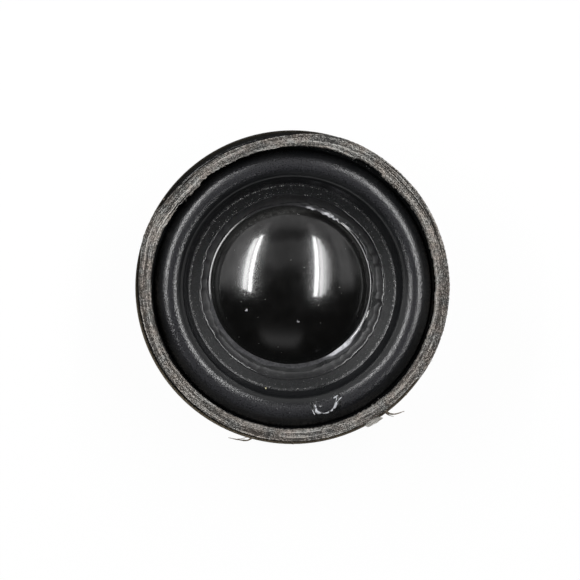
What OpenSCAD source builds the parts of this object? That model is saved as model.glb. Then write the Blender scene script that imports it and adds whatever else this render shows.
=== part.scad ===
/* [Gasket] */
// Outer diameter of the wound paper ring on the front
gasket_outer_d = 39.3; // [38.6:0.1:39.4]
// Inner diameter of the paper ring
gasket_inner_d = 36.1; // [36:0.1:36.6]
// Height of the paper ring
gasket_h = 2.75; // [2:0.05:3.5]
// How far the ring was glued off centre
gasket_shift = 0.28; // [0:0.02:0.28]
// Direction in which the ring is off centre
gasket_shift_angle = -20; // [-180:5:180]

/* [Basket] */
// Diameter of the flange, the widest part
flange_d = 40; // [40:0.5:44]
// Height of the flange's front face above the back
flange_z = 14; // [13.8:0.1:14.6]
// Diameter of the short pilot below the flange
pilot_d = 36.8; // [36.6:0.1:37]
// Thickness of the stamped sheet
sheet = 0.5; // [0.4:0.05:0.6]
// Height of the shelf that holds the spider
shelf_z = 9; // [8.8:0.1:9.2]
// Number of windows in the sloping wall
window_count = 6; // [4:1:6]
// Width of one window, in degrees
window_angle = 42; // [30:1:44]
// Height of one window
window_h = 1.6; // [1:0.1:1.7]

/* [Magnet system] */
// Outer diameter of the steel cup
yoke_d = 25; // [24.6:0.1:25.4]
// Height of the cup's shoulder, on which the basket sits
yoke_h = 7; // [6.8:0.1:7]
// Thickness of the cup's floor
yoke_floor = 1.8; // [1.5:0.1:2]
// Bore of the cup, the outer edge of the magnetic gap
gap_outer_d = 20.6; // [20.4:0.1:21]
// Diameter of the top plate, the inner edge of the gap
plate_d = 18.5; // [18:0.1:18.7]
// Diameter of the magnet
magnet_d = 17.8; // [16:0.1:18]
// Thickness of the magnet
magnet_h = 3; // [2.6:0.1:3.2]

/* [Voice coil] */
// Inner diameter of the former
coil_d = 19.06; // [19:0.02:19.1]
// Wall of the former
former_wall = 0.1; // [0.08:0.01:0.12]
// Depth of the winding
winding_wall = 0.32; // [0.2:0.02:0.32]
// Height of the winding
winding_h = 4; // [3:0.1:4.2]
// Free travel of the diaphragm each way
travel = 1.2; // [0.5:0.1:1.2]

/* [Diaphragm] */
// Diameter of the dust cap at its foot
cap_d = 20.6; // [20.4:0.1:20.8]
// Height of the dust cap
cap_h = 3.58; // [3.2:0.02:4]
// Wall of the dust cap
cap_wall = 0.25; // [0.15:0.05:0.3]
// How far the dust cap was glued off centre
cap_shift = 0.42; // [0:0.02:0.42]
// Direction in which the dust cap is off centre
cap_shift_angle = 131; // [-180:5:180]
// Diameter of the cone's flat seat under the cap
seat_d = 22.6; // [22.4:0.1:22.8]
// Rise of the cone for each millimetre outwards
cone_slope = 0.5; // [0.45:0.01:0.55]
// Thickness of the cone
cone_wall = 0.3; // [0.25:0.05:0.3]

/* [Surround] */
// Thickness of the rubber
rubber = 0.35; // [0.25:0.05:0.35]
// Diameter of the roll along its crest
crest_d = 31.2; // [31:0.1:31.3]
// Radius of the roll's round top
roll_r = 1.9; // [1.8:0.05:1.95]
// Height of the crest above the lips
roll_h = 2; // [1.95:0.05:2.2]
// Inner diameter of the lip on the cone
lip_inner_d = 23.6; // [23.4:0.1:24]
// Outer diameter of the lip on the flange
lip_outer_d = 38.6; // [38:0.1:38.8]

/* [Spider] */
// Thickness of the cloth
cloth = 0.25; // [0.2:0.05:0.3]
// Number of corrugations
wave_count = 4; // [3:1:5]
// Height of one corrugation
wave_h = 0.45; // [0.3:0.05:0.5]

/* [Terminals] */
// Width of the fibre board
board_w = 12; // [11.5:0.1:12.5]
// Thickness of the board
board_t = 0.8; // [0.6:0.1:1]
// Distance between the two tags
tag_pitch = 8.6; // [8.4:0.1:8.8]
// Width of a tag
tag_w = 2.2; // [2:0.1:2.2]
// Diameter of a lead
lead_d = 0.6; // [0.5:0.05:0.6]

/* [Hidden] */
$fn = 144;

// Small gap that a glue line leaves between two bodies
glue_line = 0.02;
// Steps of one bend in a sheet, and of the yoke's rounded edge
bend_steps = 6;

former_r = coil_d / 2 + former_wall;
winding_r = former_r + winding_wall;
former_bottom = yoke_floor + travel + 0.5;
winding_mid = yoke_floor + magnet_h + (yoke_h - yoke_floor - magnet_h) / 2;
winding_top = winding_mid + winding_h / 2;
collar_wall = 0.17;
collar_h = 0.9;
spigot_wall = 0.9;
spigot_r = gap_outer_d / 2 + spigot_wall;
spigot_top = yoke_h + sheet;
yoke_edge_r = 0.8;

// The seat lies this far below the flange's front face
seat_drop = 1.05;
seat_z = flange_z - seat_drop;
seat_r = seat_d / 2;
cone_mid_z = seat_z - cone_wall / 2;
cone_under_z = seat_z - cone_wall;
cone_outer_r = 13.4;
cone_bend_r = 0.6;
cone_secant = norm([1, cone_slope]);
cap_r = cap_d / 2;
cap_sphere_r = (cap_r * cap_r + cap_h * cap_h) / (2 * cap_h);
cap_centre_z = seat_z + cap_h - cap_sphere_r;

lip_z = flange_z + glue_line + rubber / 2;
lip_top = lip_z + rubber / 2;
crest_r = crest_d / 2;
crest_z = lip_z + roll_h;
// The roll's flanks lean this many degrees from upright
inner_lean = 30;
outer_lean = 10;
foot_r = 0.4;
surround_bends = [foot_r, roll_r, roll_r, foot_r];
inner_reach = roll_r * tan((90 - inner_lean) / 2);
outer_reach = roll_r * tan((90 - outer_lean) / 2);
inner_lip_offset = (cone_wall / 2 + glue_line + rubber / 2) * cone_secant;
inner_lip_zero = cone_mid_z + inner_lip_offset - cone_slope * seat_r;
inner_foot_r = (crest_r - inner_reach - (crest_z - inner_lip_zero) * tan(inner_lean))
    / (1 - cone_slope * tan(inner_lean));
outer_foot_r = crest_r + outer_reach + roll_h * tan(outer_lean);

gasket_bottom = lip_top + glue_line;

spider_inner_r = former_r + 0.32;
spider_outer_r = 15.9;
wave_start_r = spider_inner_r + 0.6;
wave_end_r = spider_outer_r - 1;
wave_steps = 12;
spider_z = shelf_z + glue_line + cloth / 2;

// Depth of each glue fillet along what it lies on
spider_glue_w = 0.25;
rim_glue_w = 0.5;
neck_glue_h = 0.4;
cone_glue_w = 0.35;
surround_glue_w = 0.5;
cap_glue_w = 0.4;
cap_glue_h = 0.2;
// The cap's flank runs in a little more than this for each millimetre of height
cap_glue_run = 0.95 * (cap_sphere_r - cap_h) / cap_r;

shelf_mid = shelf_z - sheet / 2;
flange_mid = flange_z - sheet / 2;
pilot_mid_r = pilot_d / 2 - sheet / 2;
floor_outer_r = 13.7;
shelf_inner_r = 14.2;
shelf_outer_r = 16.4;
wall_top_z = flange_z - 2.8;
window_bottom = shelf_z + 0.3;
basket_bend_r = 0.5;
basket_path = [
    [spigot_r + glue_line, yoke_h + sheet / 2],
    [floor_outer_r, yoke_h + sheet / 2],
    [shelf_inner_r, shelf_mid],
    [shelf_outer_r, shelf_mid],
    [pilot_mid_r, wall_top_z],
    [pilot_mid_r, flange_mid],
    [flange_d / 2, flange_mid]
];

board_top = yoke_h;
board_bottom = board_top - board_t;
board_inner_r = yoke_d / 2 + 0.4;
board_outer_r = pilot_d / 2 - 0.2;
tab_w = 5.2;
tab_end_y = -15.6;
notch_y = -15;
notch_depth = 1.8;
notch_gap = 0.3;
board_rivet_x = 1.5;
rivet_y = -14.6;
tag_t = 0.3;
tag_x = tag_pitch / 2;
tag_start_y = -13.6;
tag_end_y = -16.5;
tag_rivet_bore_r = 0.25;
tag_top = board_top + tag_t;
rivet_r = 0.5;
rivet_head_r = 0.9;
rivet_head_t = 0.35;
solder_y = -16.9;
solder_r = 0.95;
solder_h = 0.6;

tail_angle = 14;
tail_w = 0.8;
tail_t = 0.14;
tail_top = cone_under_z - 0.3;
slot_depth = 1;
tail_angles = [-90 - tail_angle, -90 + tail_angle];
anchor_r = 0.65;
anchor_polar_r = former_r + tail_t + anchor_r;
anchor_bottom = cone_under_z - 0.85;
lead_sides = 8;
lead_steps = 3;
// Route of the positive lead from its anchor to its tag
lead_route = [
    [2.52, -10.11, anchor_bottom - glue_line],
    [2.58, -10.3, 11.2],
    [2.8, -11.1, 10.7],
    [3.2, -12.5, 10.6],
    [3.6, -14.2, 10.8],
    [3.9, -15.8, 10.7],
    [4.2, -16.9, 10.1],
    [4.3, -17.3, 9.2],
    [4.3, -17.2, 8.3],
    [4.3, solder_y, 7.6]
];

function unit(v) = v / norm(v);
function left_of(v) = [-v[1], v[0]];
function turn_way(u, v) = sign(u[0] * v[1] - u[1] * v[0]);
function reversed(list) = [for (i = [len(list) - 1:-1:0]) list[i]];
function arc(centre, r, from, to, steps) =
    [for (i = [0:steps]) let (a = from + (to - from) * i / steps) centre + r * [cos(a), sin(a)]];

// One bend of a sheet at point b, on the line that lies s to the left of the sheet's middle
function bend(a, b, c, bend_r, s) =
    let (
        u = unit(b - a),
        v = unit(c - b),
        way = turn_way(u, v),
        turn = acos(u * v),
        centre = b - u * bend_r * tan(turn / 2) + left_of(u) * bend_r * way,
        start = atan2(-way * left_of(u)[1], -way * left_of(u)[0])
    )
    arc(centre, bend_r - way * s, start, start + way * turn, bend_steps);

// The line s to the left of a sheet that bends at every inner point of its path
function side(path, bend_rs, s) =
    let (last = len(path) - 1)
    concat(
        [path[0] + s * left_of(unit(path[1] - path[0]))],
        [for (k = [1:last - 1]) each bend(path[k - 1], path[k], path[k + 1], bend_rs[k - 1], s)],
        [path[last] + s * left_of(unit(path[last] - path[last - 1]))]
    );

module sheet_ring(path, bend_rs, thickness) {
    rotate_extrude()
        polygon(concat(
            side(path, bend_rs, thickness / 2),
            reversed(side(path, bend_rs, -thickness / 2))
        ));
}

module ring(inner_r, outer_r, bottom, top) {
    translate([0, 0, bottom])
        difference() {
            cylinder(r = outer_r, h = top - bottom);
            translate([0, 0, -1])
                cylinder(r = inner_r, h = top - bottom + 2);
        }
}

module shifted(distance, angle) {
    translate([distance * cos(angle), distance * sin(angle), 0])
        children();
}

module both_sides() {
    children();
    mirror([1, 0, 0])
        children();
}

module yoke() {
    edge = arc([yoke_d / 2 - yoke_edge_r, yoke_edge_r], yoke_edge_r, -90, 0, bend_steps);
    color("silver")
        rotate_extrude()
            polygon(concat([[0, 0]], edge, [
                [yoke_d / 2, yoke_h],
                [spigot_r, yoke_h],
                [spigot_r, spigot_top],
                [gap_outer_d / 2, spigot_top],
                [gap_outer_d / 2, yoke_floor],
                [0, yoke_floor]
            ]));
}

module magnet() {
    color("lightgray")
        translate([0, 0, yoke_floor])
            cylinder(d = magnet_d, h = magnet_h);
}

module top_plate() {
    color("silver")
        translate([0, 0, yoke_floor + magnet_h])
            cylinder(d = plate_d, h = yoke_h - yoke_floor - magnet_h);
}

module window_cutter() {
    translate([0, 0, window_bottom])
        rotate([0, 0, -90 - window_angle / 2])
            rotate_extrude(angle = window_angle)
                translate([spider_outer_r, 0])
                    square([flange_d / 2 - spider_outer_r, window_h]);
}

module rivet_holes() {
    both_sides()
        translate([board_rivet_x, rivet_y, board_bottom - 1])
            cylinder(r = rivet_r, h = board_t + sheet + 2);
}

module basket() {
    color("#161616")
        difference() {
            union() {
                sheet_ring(basket_path, [for (k = [1:5]) basket_bend_r], sheet);
                translate([-tab_w / 2, tab_end_y, yoke_h])
                    cube([tab_w, -tab_end_y - board_inner_r, sheet]);
            }
            for (k = [0:window_count - 1])
                rotate([0, 0, k * 360 / window_count])
                    window_cutter();
            translate([-tab_w / 2 - notch_gap, notch_y, yoke_h + sheet])
                cube([tab_w + 2 * notch_gap, notch_depth, shelf_z - yoke_h - 2 * sheet]);
            rivet_holes();
        }
}

module terminal_board() {
    color("#5a3c22")
        difference() {
            intersection() {
                ring(board_inner_r, board_outer_r, board_bottom, board_top);
                translate([-board_w / 2, -board_outer_r - 1, board_bottom - 1])
                    cube([board_w, board_outer_r, board_t + 2]);
            }
            rivet_holes();
            both_sides()
                translate([tag_x, rivet_y, board_bottom - 1])
                    cylinder(r = rivet_r, h = board_t + 2);
        }
}

module rivet(x, bottom, top, bore_r) {
    translate([x, rivet_y, 0])
        difference() {
            union() {
                translate([0, 0, bottom - rivet_head_t])
                    cylinder(r = rivet_head_r, h = rivet_head_t);
                translate([0, 0, bottom])
                    cylinder(r = rivet_r, h = top - bottom);
                translate([0, 0, top])
                    cylinder(r = rivet_head_r, h = rivet_head_t);
            }
            if (bore_r > 0)
                translate([0, 0, bottom - 1])
                    cylinder(r = bore_r, h = top - bottom + 2);
        }
}

module board_rivets() {
    color("silver")
        both_sides()
            rivet(board_rivet_x, board_bottom, yoke_h + sheet, 0);
}

module tag_rivets() {
    color("#b8a060")
        both_sides()
            rivet(tag_x, board_bottom, tag_top, tag_rivet_bore_r);
}

module terminal_tag() {
    color("lightgray")
        translate([tag_x, 0, board_top])
            difference() {
                union() {
                    translate([-tag_w / 2, tag_end_y, 0])
                        cube([tag_w, tag_start_y - tag_end_y, tag_t]);
                    translate([0, tag_end_y, 0])
                        cylinder(d = tag_w, h = tag_t);
                }
                translate([0, rivet_y, -1])
                    cylinder(r = rivet_r, h = tag_t + 2);
            }
}

module terminal_tag_positive() {
    terminal_tag();
}

module terminal_tag_negative() {
    mirror([1, 0, 0])
        terminal_tag();
}

module lead_solder() {
    sphere_r = (solder_r * solder_r + solder_h * solder_h) / (2 * solder_h);
    color("gainsboro")
        both_sides()
            translate([tag_x, solder_y, tag_top])
                intersection() {
                    translate([0, 0, solder_h - sphere_r])
                        sphere(r = sphere_r, $fn = 48);
                    cylinder(r = solder_r + 1, h = solder_h + 1);
                }
}

// A point on the smooth curve between b and c, with its neighbours a and d
function curve_point(a, b, c, d, t) =
    0.5 * (2 * b + t * (c - a) + t * t * (2 * a - 5 * b + 4 * c - d)
        + t * t * t * (3 * b - a - 3 * c + d));
function curve(route) =
    let (last = len(route) - 1)
    concat(
        [for (k = [0:last - 1]) for (i = [0:lead_steps - 1]) let (a = max(k - 1, 0), d = min(k + 2, last))
            curve_point(route[a], route[k], route[k + 1], route[d], i / lead_steps)],
        [route[last]]
    );
function heading(points, k) = unit(points[min(k + 1, len(points) - 1)] - points[max(k - 1, 0)]);
// The ring of points round point k; the route stays close to one plane, so X serves as its side
function tube_ring(points, k, r) =
    let (
        across = unit(cross(heading(points, k), [1, 0, 0])),
        beside = cross(heading(points, k), across)
    )
    [for (a = [0:lead_sides - 1])
        points[k] + r * (cos(a * 360 / lead_sides) * across + sin(a * 360 / lead_sides) * beside)];

module tube(points, r) {
    n = len(points);
    corners = [for (k = [0:n - 1]) each tube_ring(points, k, r)];
    walls = [for (k = [0:n - 2]) for (a = [0:lead_sides - 1]) let (b = (a + 1) % lead_sides) each [
        [k * lead_sides + a, (k + 1) * lead_sides + b, k * lead_sides + b],
        [k * lead_sides + a, (k + 1) * lead_sides + a, (k + 1) * lead_sides + b]
    ]];
    first_end = [for (a = [1:lead_sides - 2]) [0, a, a + 1]];
    last_end = [for (a = [1:lead_sides - 2]) [0, a + 1, a] + (n - 1) * lead_sides * [1, 1, 1]];
    polyhedron(points = corners, faces = concat(walls, first_end, last_end));
}

module lead_positive() {
    color("#b07a50")
        tube(curve(lead_route), lead_d / 2);
}

module lead_negative() {
    mirror([1, 0, 0])
        lead_positive();
}

module spider() {
    wave = (wave_end_r - wave_start_r) / wave_count;
    mid = concat(
        [[spider_inner_r, spider_z]],
        [for (i = [0:wave_count * wave_steps]) [
            wave_start_r + wave * i / wave_steps,
            spider_z + wave_h * (1 - cos(360 * i / wave_steps)) / 2
        ]],
        [[spider_outer_r, spider_z]]
    );
    color("#c8a860")
        rotate_extrude()
            polygon(concat(
                [for (p = mid) p + [0, cloth / 2]],
                [for (p = reversed(mid)) p - [0, cloth / 2]]
            ));
}

module spider_glue() {
    color("#c8b890")
        rotate_extrude()
            polygon([
                [spider_outer_r + glue_line, shelf_z],
                [spider_outer_r + spider_glue_w, shelf_z],
                [spider_outer_r + glue_line, shelf_z + cloth]
            ]);
}

surround_path = [
    [lip_inner_d / 2, inner_lip_zero + cone_slope * lip_inner_d / 2],
    [inner_foot_r, inner_lip_zero + cone_slope * inner_foot_r],
    [crest_r - inner_reach, crest_z],
    [crest_r + outer_reach, crest_z],
    [outer_foot_r, lip_z],
    [lip_outer_d / 2, lip_z]
];

module surround() {
    color("#202020")
        sheet_ring(surround_path, surround_bends, rubber);
}

module rim_glue() {
    color("#c0a880")
        rotate_extrude()
            polygon([
                [lip_outer_d / 2 + glue_line, flange_z],
                [lip_outer_d / 2 + rim_glue_w, flange_z],
                [lip_outer_d / 2 + glue_line, lip_top]
            ]);
}

module front_gasket() {
    color("#747069")
        shifted(gasket_shift, gasket_shift_angle)
            ring(gasket_inner_d / 2, gasket_outer_d / 2, gasket_bottom, gasket_bottom + gasket_h);
}

module voice_coil_former() {
    color("#b08040")
        ring(coil_d / 2, former_r, former_bottom, seat_z);
}

module voice_coil() {
    color("#b0603a")
        ring(former_r, winding_r, winding_mid - winding_h / 2, winding_top);
}

module tail_strips(depth) {
    for (tail_at = tail_angles)
        rotate([0, 0, tail_at])
            translate([former_r + tail_t - depth, -tail_w / 2, winding_top])
                cube([depth, tail_w, tail_top - winding_top]);
}

module coil_collar() {
    color("#8a6a40")
        difference() {
            ring(former_r, former_r + collar_wall, winding_top, winding_top + collar_h);
            tail_strips(slot_depth);
        }
}

module coil_tails() {
    color("#b0603a")
        tail_strips(tail_t);
}

module neck_glue() {
    color("#30302c")
        difference() {
            ring(former_r, spider_inner_r - glue_line, shelf_z, shelf_z + neck_glue_h);
            tail_strips(slot_depth);
        }
}

module cone() {
    outer_z = cone_mid_z + cone_slope * (cone_outer_r - seat_r);
    color("#1c1c1c")
        sheet_ring([
            [former_r + glue_line, cone_mid_z],
            [seat_r, cone_mid_z],
            [cone_outer_r, outer_z]
        ], [cone_bend_r], cone_wall);
}

module cone_glue() {
    color("#30302c")
        difference() {
            rotate_extrude()
                polygon([
                    [former_r, cone_under_z],
                    [former_r, cone_under_z - cone_glue_w],
                    [former_r + cone_glue_w, cone_under_z]
                ]);
            tail_strips(slot_depth);
            anchor_cylinders();
        }
}

module surround_glue() {
    lip_end = side(surround_path, surround_bends, -rubber / 2)[0];
    lip_edge = side(surround_path, surround_bends, rubber / 2)[0];
    color("#2a2a2a")
        rotate_extrude()
            polygon([
                lip_end - [glue_line, 0],
                lip_edge - [glue_line, 2 * glue_line],
                lip_end - surround_glue_w * [1, cone_slope]
            ]);
}

module dust_cap() {
    color("#0c0c0e")
        shifted(cap_shift, cap_shift_angle)
            difference() {
                translate([0, 0, cap_centre_z])
                    sphere(r = cap_sphere_r);
                translate([0, 0, cap_centre_z])
                    sphere(r = cap_sphere_r - cap_wall);
                translate([0, 0, seat_z - 2 * cap_sphere_r])
                    cylinder(r = 2 * cap_sphere_r, h = 2 * cap_sphere_r);
            }
}

module cap_glue() {
    color("#2a2a2a")
        shifted(cap_shift, cap_shift_angle)
            rotate_extrude()
                polygon([
                    [cap_r + glue_line, seat_z],
                    [cap_r + cap_glue_w, seat_z],
                    [cap_r + glue_line - cap_glue_run * cap_glue_h, seat_z + cap_glue_h]
                ]);
}

module anchor_cylinders() {
    for (tail_at = tail_angles)
        rotate([0, 0, tail_at])
            translate([anchor_polar_r, 0, anchor_bottom])
                cylinder(r = anchor_r, h = cone_under_z - anchor_bottom);
}

module lead_anchors() {
    color("#30302c")
        anchor_cylinders();
}

yoke();
magnet();
top_plate();
basket();
terminal_board();
board_rivets();
terminal_tag_positive();
terminal_tag_negative();
tag_rivets();
lead_solder();
lead_positive();
lead_negative();
spider();
spider_glue();
surround();
rim_glue();
front_gasket();
voice_coil_former();
voice_coil();
coil_collar();
coil_tails();
neck_glue();
cone();
cone_glue();
surround_glue();
dust_cap();
cap_glue();
lead_anchors();
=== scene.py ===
import random
from math import acos, asin, atan2, ceil, cos, degrees, exp, hypot, pi, radians, sin, sqrt, tan

import bmesh
import bpy
import numpy as np
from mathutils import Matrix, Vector, noise


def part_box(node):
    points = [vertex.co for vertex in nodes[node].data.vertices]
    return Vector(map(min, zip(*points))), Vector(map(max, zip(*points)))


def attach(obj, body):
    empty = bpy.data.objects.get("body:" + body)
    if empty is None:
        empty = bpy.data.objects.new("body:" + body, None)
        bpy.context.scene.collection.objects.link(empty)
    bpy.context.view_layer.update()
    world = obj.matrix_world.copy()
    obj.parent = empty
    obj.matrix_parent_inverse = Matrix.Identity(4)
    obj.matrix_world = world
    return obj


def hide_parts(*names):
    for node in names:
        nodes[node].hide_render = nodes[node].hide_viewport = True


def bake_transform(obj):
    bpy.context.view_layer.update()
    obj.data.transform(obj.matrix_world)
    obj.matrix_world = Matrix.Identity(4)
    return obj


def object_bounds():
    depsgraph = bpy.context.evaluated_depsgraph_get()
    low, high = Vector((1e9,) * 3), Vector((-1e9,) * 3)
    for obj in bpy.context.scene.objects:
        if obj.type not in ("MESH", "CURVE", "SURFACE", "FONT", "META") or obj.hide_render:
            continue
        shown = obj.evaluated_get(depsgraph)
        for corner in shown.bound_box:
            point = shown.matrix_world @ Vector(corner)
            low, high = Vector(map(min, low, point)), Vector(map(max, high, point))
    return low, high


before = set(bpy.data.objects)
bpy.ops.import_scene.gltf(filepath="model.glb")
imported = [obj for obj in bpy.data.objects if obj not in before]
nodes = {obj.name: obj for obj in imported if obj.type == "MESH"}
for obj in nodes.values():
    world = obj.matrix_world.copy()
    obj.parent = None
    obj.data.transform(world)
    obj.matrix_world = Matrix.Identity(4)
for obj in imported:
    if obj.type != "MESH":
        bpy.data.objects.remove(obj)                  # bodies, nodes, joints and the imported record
cadLow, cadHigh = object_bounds()      # the CAD model's box
mm = 0.001
fullTurn = 2 * pi
print("frame loaded with", len(nodes), "nodes")


# Mesh tools. Shapes are worked out in mm and become metres in addMesh.

def addObject(name, data):
    piece = bpy.data.objects.new(name, data)
    bpy.context.scene.collection.objects.link(piece)
    return piece


def addMesh(name, parts, finish):
    # each part is a pair: its points, and arrays of faces
    corners = []
    used = 0
    for points, faceSets in parts:
        for faces in faceSets:
            corners += (np.atleast_2d(faces) + used).tolist()
        used += len(points)
    mesh = bpy.data.meshes.new(name)
    mesh.from_pydata(np.concatenate([points for points, _ in parts]) * mm, [], corners)
    mesh.shade_smooth()
    mesh.materials.append(finish)
    return addObject(name, mesh)


def mark(piece, name, values):
    # a number at each point, for the finish to read
    values = np.asarray(values, np.float32).ravel()
    piece.data.attributes.new(name, "FLOAT", "POINT").data.foreach_set("value", values)


def evenAngles(lines):
    return np.linspace(0, fullTurn, lines, endpoint=False)


def wallFaces(turn, step, nextTurn, nextStep, steps):
    corners = ((turn, step), (nextTurn, step), (nextTurn, nextStep), (turn, nextStep))
    return np.stack([t * steps + s for t, s in corners], -1).reshape(-1, 4)


def ringPart(radius, height, angles):
    # joins one closed section for each angle into a ring
    turns, steps = radius.shape
    x = radius * np.cos(angles)[:, None]
    y = radius * np.sin(angles)[:, None]
    turn = np.arange(turns)[:, None]
    step = np.arange(steps)[None, :]
    faces = wallFaces(turn, step, (turn + 1) % turns, (step + 1) % steps, steps)
    return np.stack((x, y, height), -1).reshape(-1, 3), [faces]


def columns(values, order=1):
    return np.stack(np.broadcast_arrays(*values)[::order], -1)


def around(radius, angle, height, middle=(0, 0)):
    return middle[0] + radius * cos(angle), middle[1] + radius * sin(angle), height


def beadPart(radius, height, angles, order=-1):
    # a ring from lists of radius and height; order -1 is for lists that run outwards along the top
    return ringPart(columns(radius, order), columns(height, order), angles)


def discPart(shape, lines, rings):
    # a top and an under side that share their edge; shape gives each point from its share and angle
    shares = np.linspace(0, 1, rings + 1)[1:]
    angles = evenAngles(lines)
    points = [shape(0.0, 0.0, True)]
    points += [shape(s, a, True) for s in shares for a in angles]
    points.append(shape(0.0, 0.0, False))
    points += [shape(s, a, False) for s in shares[:-1] for a in angles]
    quads = []
    fans = []
    under = 1 + rings * lines
    for k in range(lines):
        n = (k + 1) % lines
        fans += [(0, 1 + k, 1 + n), (under, under + 1 + n, under + 1 + k)]
        for s in range(rings - 1):
            a = 1 + s * lines
            quads.append((a + k, a + lines + k, a + lines + n, a + n))
            low = under + a
            below = low + lines if s < rings - 2 else 1 + (rings - 1) * lines
            quads.append((low + n, below + n, below + k, low + k))
    return points, [quads, fans]


def alongPath(points):
    # the path, and two directions across it at each point that don't twist
    heading = np.gradient(np.asarray(points, float), axis=0)
    heading /= np.linalg.norm(heading, axis=1)[:, None]
    side = np.cross(heading[0], (0.3, 0.5, 0.8))
    sides = []
    for way in heading:
        side = side - way * np.dot(side, way)
        side /= np.linalg.norm(side)
        sides.append(side)
    return np.asarray(points, float), np.array(sides), np.cross(heading, sides)


def tubePart(path, radius, sides):
    # a closed tube along the path; radius is one number or one for each point
    points, side, other = alongPath(path)
    steps = len(points)
    angles = evenAngles(sides)
    spokes = side[:, None] * np.cos(angles)[None, :, None] + other[:, None] * np.sin(angles)[None, :, None]
    rings = points[:, None] + spokes * np.broadcast_to(radius, steps)[:, None, None]
    step = np.arange(steps - 1)[:, None]
    turn = np.arange(sides)[None, :]
    walls = wallFaces(step, turn, step + 1, (turn + 1) % sides, sides)[:, [0, 3, 2, 1]]
    return rings.reshape(-1, 3), [walls, np.arange(sides)[::-1], np.arange(sides) + (steps - 1) * sides]


def curveThrough(route, steps):
    # a smooth curve through the points of the route
    stops = np.array((route[0], *route, route[-1]), float)
    curve = []
    for a, b, c, d in zip(stops, stops[1:], stops[2:], stops[3:]):
        for t in np.arange(steps) / steps:
            flat = 2 * b + t * (c - a) + t * t * (2 * a - 5 * b + 4 * c - d)
            curve.append(0.5 * (flat + t ** 3 * (3 * b - a - 3 * c + d)))
    return np.array(curve + [stops[-1]])


def ballShape():
    shape = bmesh.new()
    bmesh.ops.create_icosphere(shape, subdivisions=2, radius=1)
    points = np.array([v.co for v in shape.verts])
    faces = np.array([[v.index for v in f.verts] for f in shape.faces])
    shape.free()
    return points, faces


ball = ballShape()


def turned(x, y, angle):
    return x * cos(angle) - y * sin(angle), x * sin(angle) + y * cos(angle)


def lumpPart(centre, radii, pick, rough=0.3):
    # an uneven lump, turned at random
    points = ball[0] * (1 + rough * np.array([pick.uniform(-1, 1) for _ in ball[0]]))[:, None]
    angle = pick.uniform(0, fullTurn)
    x, y, z = (points * np.asarray(radii)).T
    return np.stack((*turned(x, y, angle), z), -1) + np.asarray(centre), [ball[1]]


def grainPart(centre, grain, longest, pick, flat=0.7, rough=0.2):
    return lumpPart(centre, (grain * pick.uniform(1, longest), grain, grain * flat), pick, rough)


def bentLine(corners, bends, straight, turnStep):
    # a line in radius and height with a round bend at each inner corner
    corners = [np.array(c, float) for c in corners]
    line = [corners[0]]

    def runTo(end):
        start = line[-1]
        steps = max(1, ceil(np.linalg.norm(end - start) / straight))
        line.extend(start + (end - start) * k / steps for k in range(1, steps + 1))

    for k, bend in enumerate(bends, 1):
        before = corners[k] - corners[k - 1]
        before /= np.linalg.norm(before)
        after = corners[k + 1] - corners[k]
        after /= np.linalg.norm(after)
        way = np.sign(before[0] * after[1] - before[1] * after[0])
        angle = acos(before @ after)
        first = corners[k] - before * bend * tan(angle / 2)
        centre = first + np.array((-before[1], before[0])) * bend * way
        runTo(first)
        steps = max(2, ceil(degrees(angle) / turnStep))
        arm = first - centre
        line.extend(centre + np.array(turned(*arm, way * angle * i / steps)) for i in range(1, steps + 1))
    runTo(corners[-1])
    return np.array(line)


def leftOf(line):
    # the direction square to the line at each of its points, to its left
    way = np.gradient(line, axis=0)
    way /= np.linalg.norm(way, axis=1)[:, None]
    return np.stack((-way[:, 1], way[:, 0]), -1)


def sheetSection(topLine, underLine, thickness, bulge):
    # the closed section of a bent sheet: under side, outer end, top side, inner end
    half = thickness / 2
    topOut = leftOf(topLine)
    underOut = -leftOf(underLine)
    fan = np.radians((-50, 0, 50))

    def endOf(point, up, side):
        away = np.array((up[1], -up[0])) * side
        arc = [point + up * half * sin(a) + away * bulge * cos(a) for a in fan]
        return arc, [up * sin(a) + away * cos(a) for a in fan]

    outerEnd, outerOut = endOf(topLine[-1], topOut[-1], 1)
    innerEnd, innerOut = endOf(topLine[0], topOut[0], -1)
    top = (topLine + topOut * half)[::-1]
    section = np.concatenate((underLine + underOut * half, outerEnd, top, innerEnd[::-1]))
    out = np.concatenate((underOut, outerOut, topOut[::-1], innerOut[::-1]))
    isTop = np.zeros(len(section), bool)
    isTop[len(underLine) + len(fan):len(section) - len(fan)] = True
    return section, out, isTop


def liftedRing(section, out, angles, lift, shift=0):
    # lift is how far each point stands proud of the plain section, in mm
    return ringPart(section[:, 0] + out[:, 0] * lift + shift, section[:, 1] + out[:, 1] * lift, angles)


def ringNoise(section, angles, size, seed):
    # fine noise at each point of a ring
    radius = section[None, :, 0]
    angle = angles[:, None]
    points = columns((radius * np.cos(angle), radius * np.sin(angle), section[None, :, 1]))
    return unevenness(points.reshape(-1, 3), size, seed).reshape(len(angles), -1)


def wander(angles, seed, slowest, fastest, count=14):
    # a smooth random wave round the ring, mostly within -1 and 1
    pick = random.Random(seed)
    line = np.zeros(len(angles))
    for _ in range(count):
        turns = pick.randint(slowest, fastest)
        line += np.cos(turns * angles + pick.uniform(0, fullTurn))
    return line / sqrt(count)


def smooth(share):
    return share * share * (3 - 2 * share)


def edgeLine(points, angles):
    # points are pairs: direction in degrees from +X, and a value there
    return np.interp(np.degrees(angles) % 360, *np.transpose(points), period=360)


def unevenness(points, size, seed):
    # fine noise at each point, from -1 to 1
    return np.array([noise.noise(p) for p in np.asarray(points) / size + seed])


# Finish tools. They work on the finish that was started last.

bench = {}


def useTree(owner, output):
    owner.use_nodes = True
    bench.update(tree=owner.node_tree, shader=owner.node_tree.nodes[output])


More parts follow.
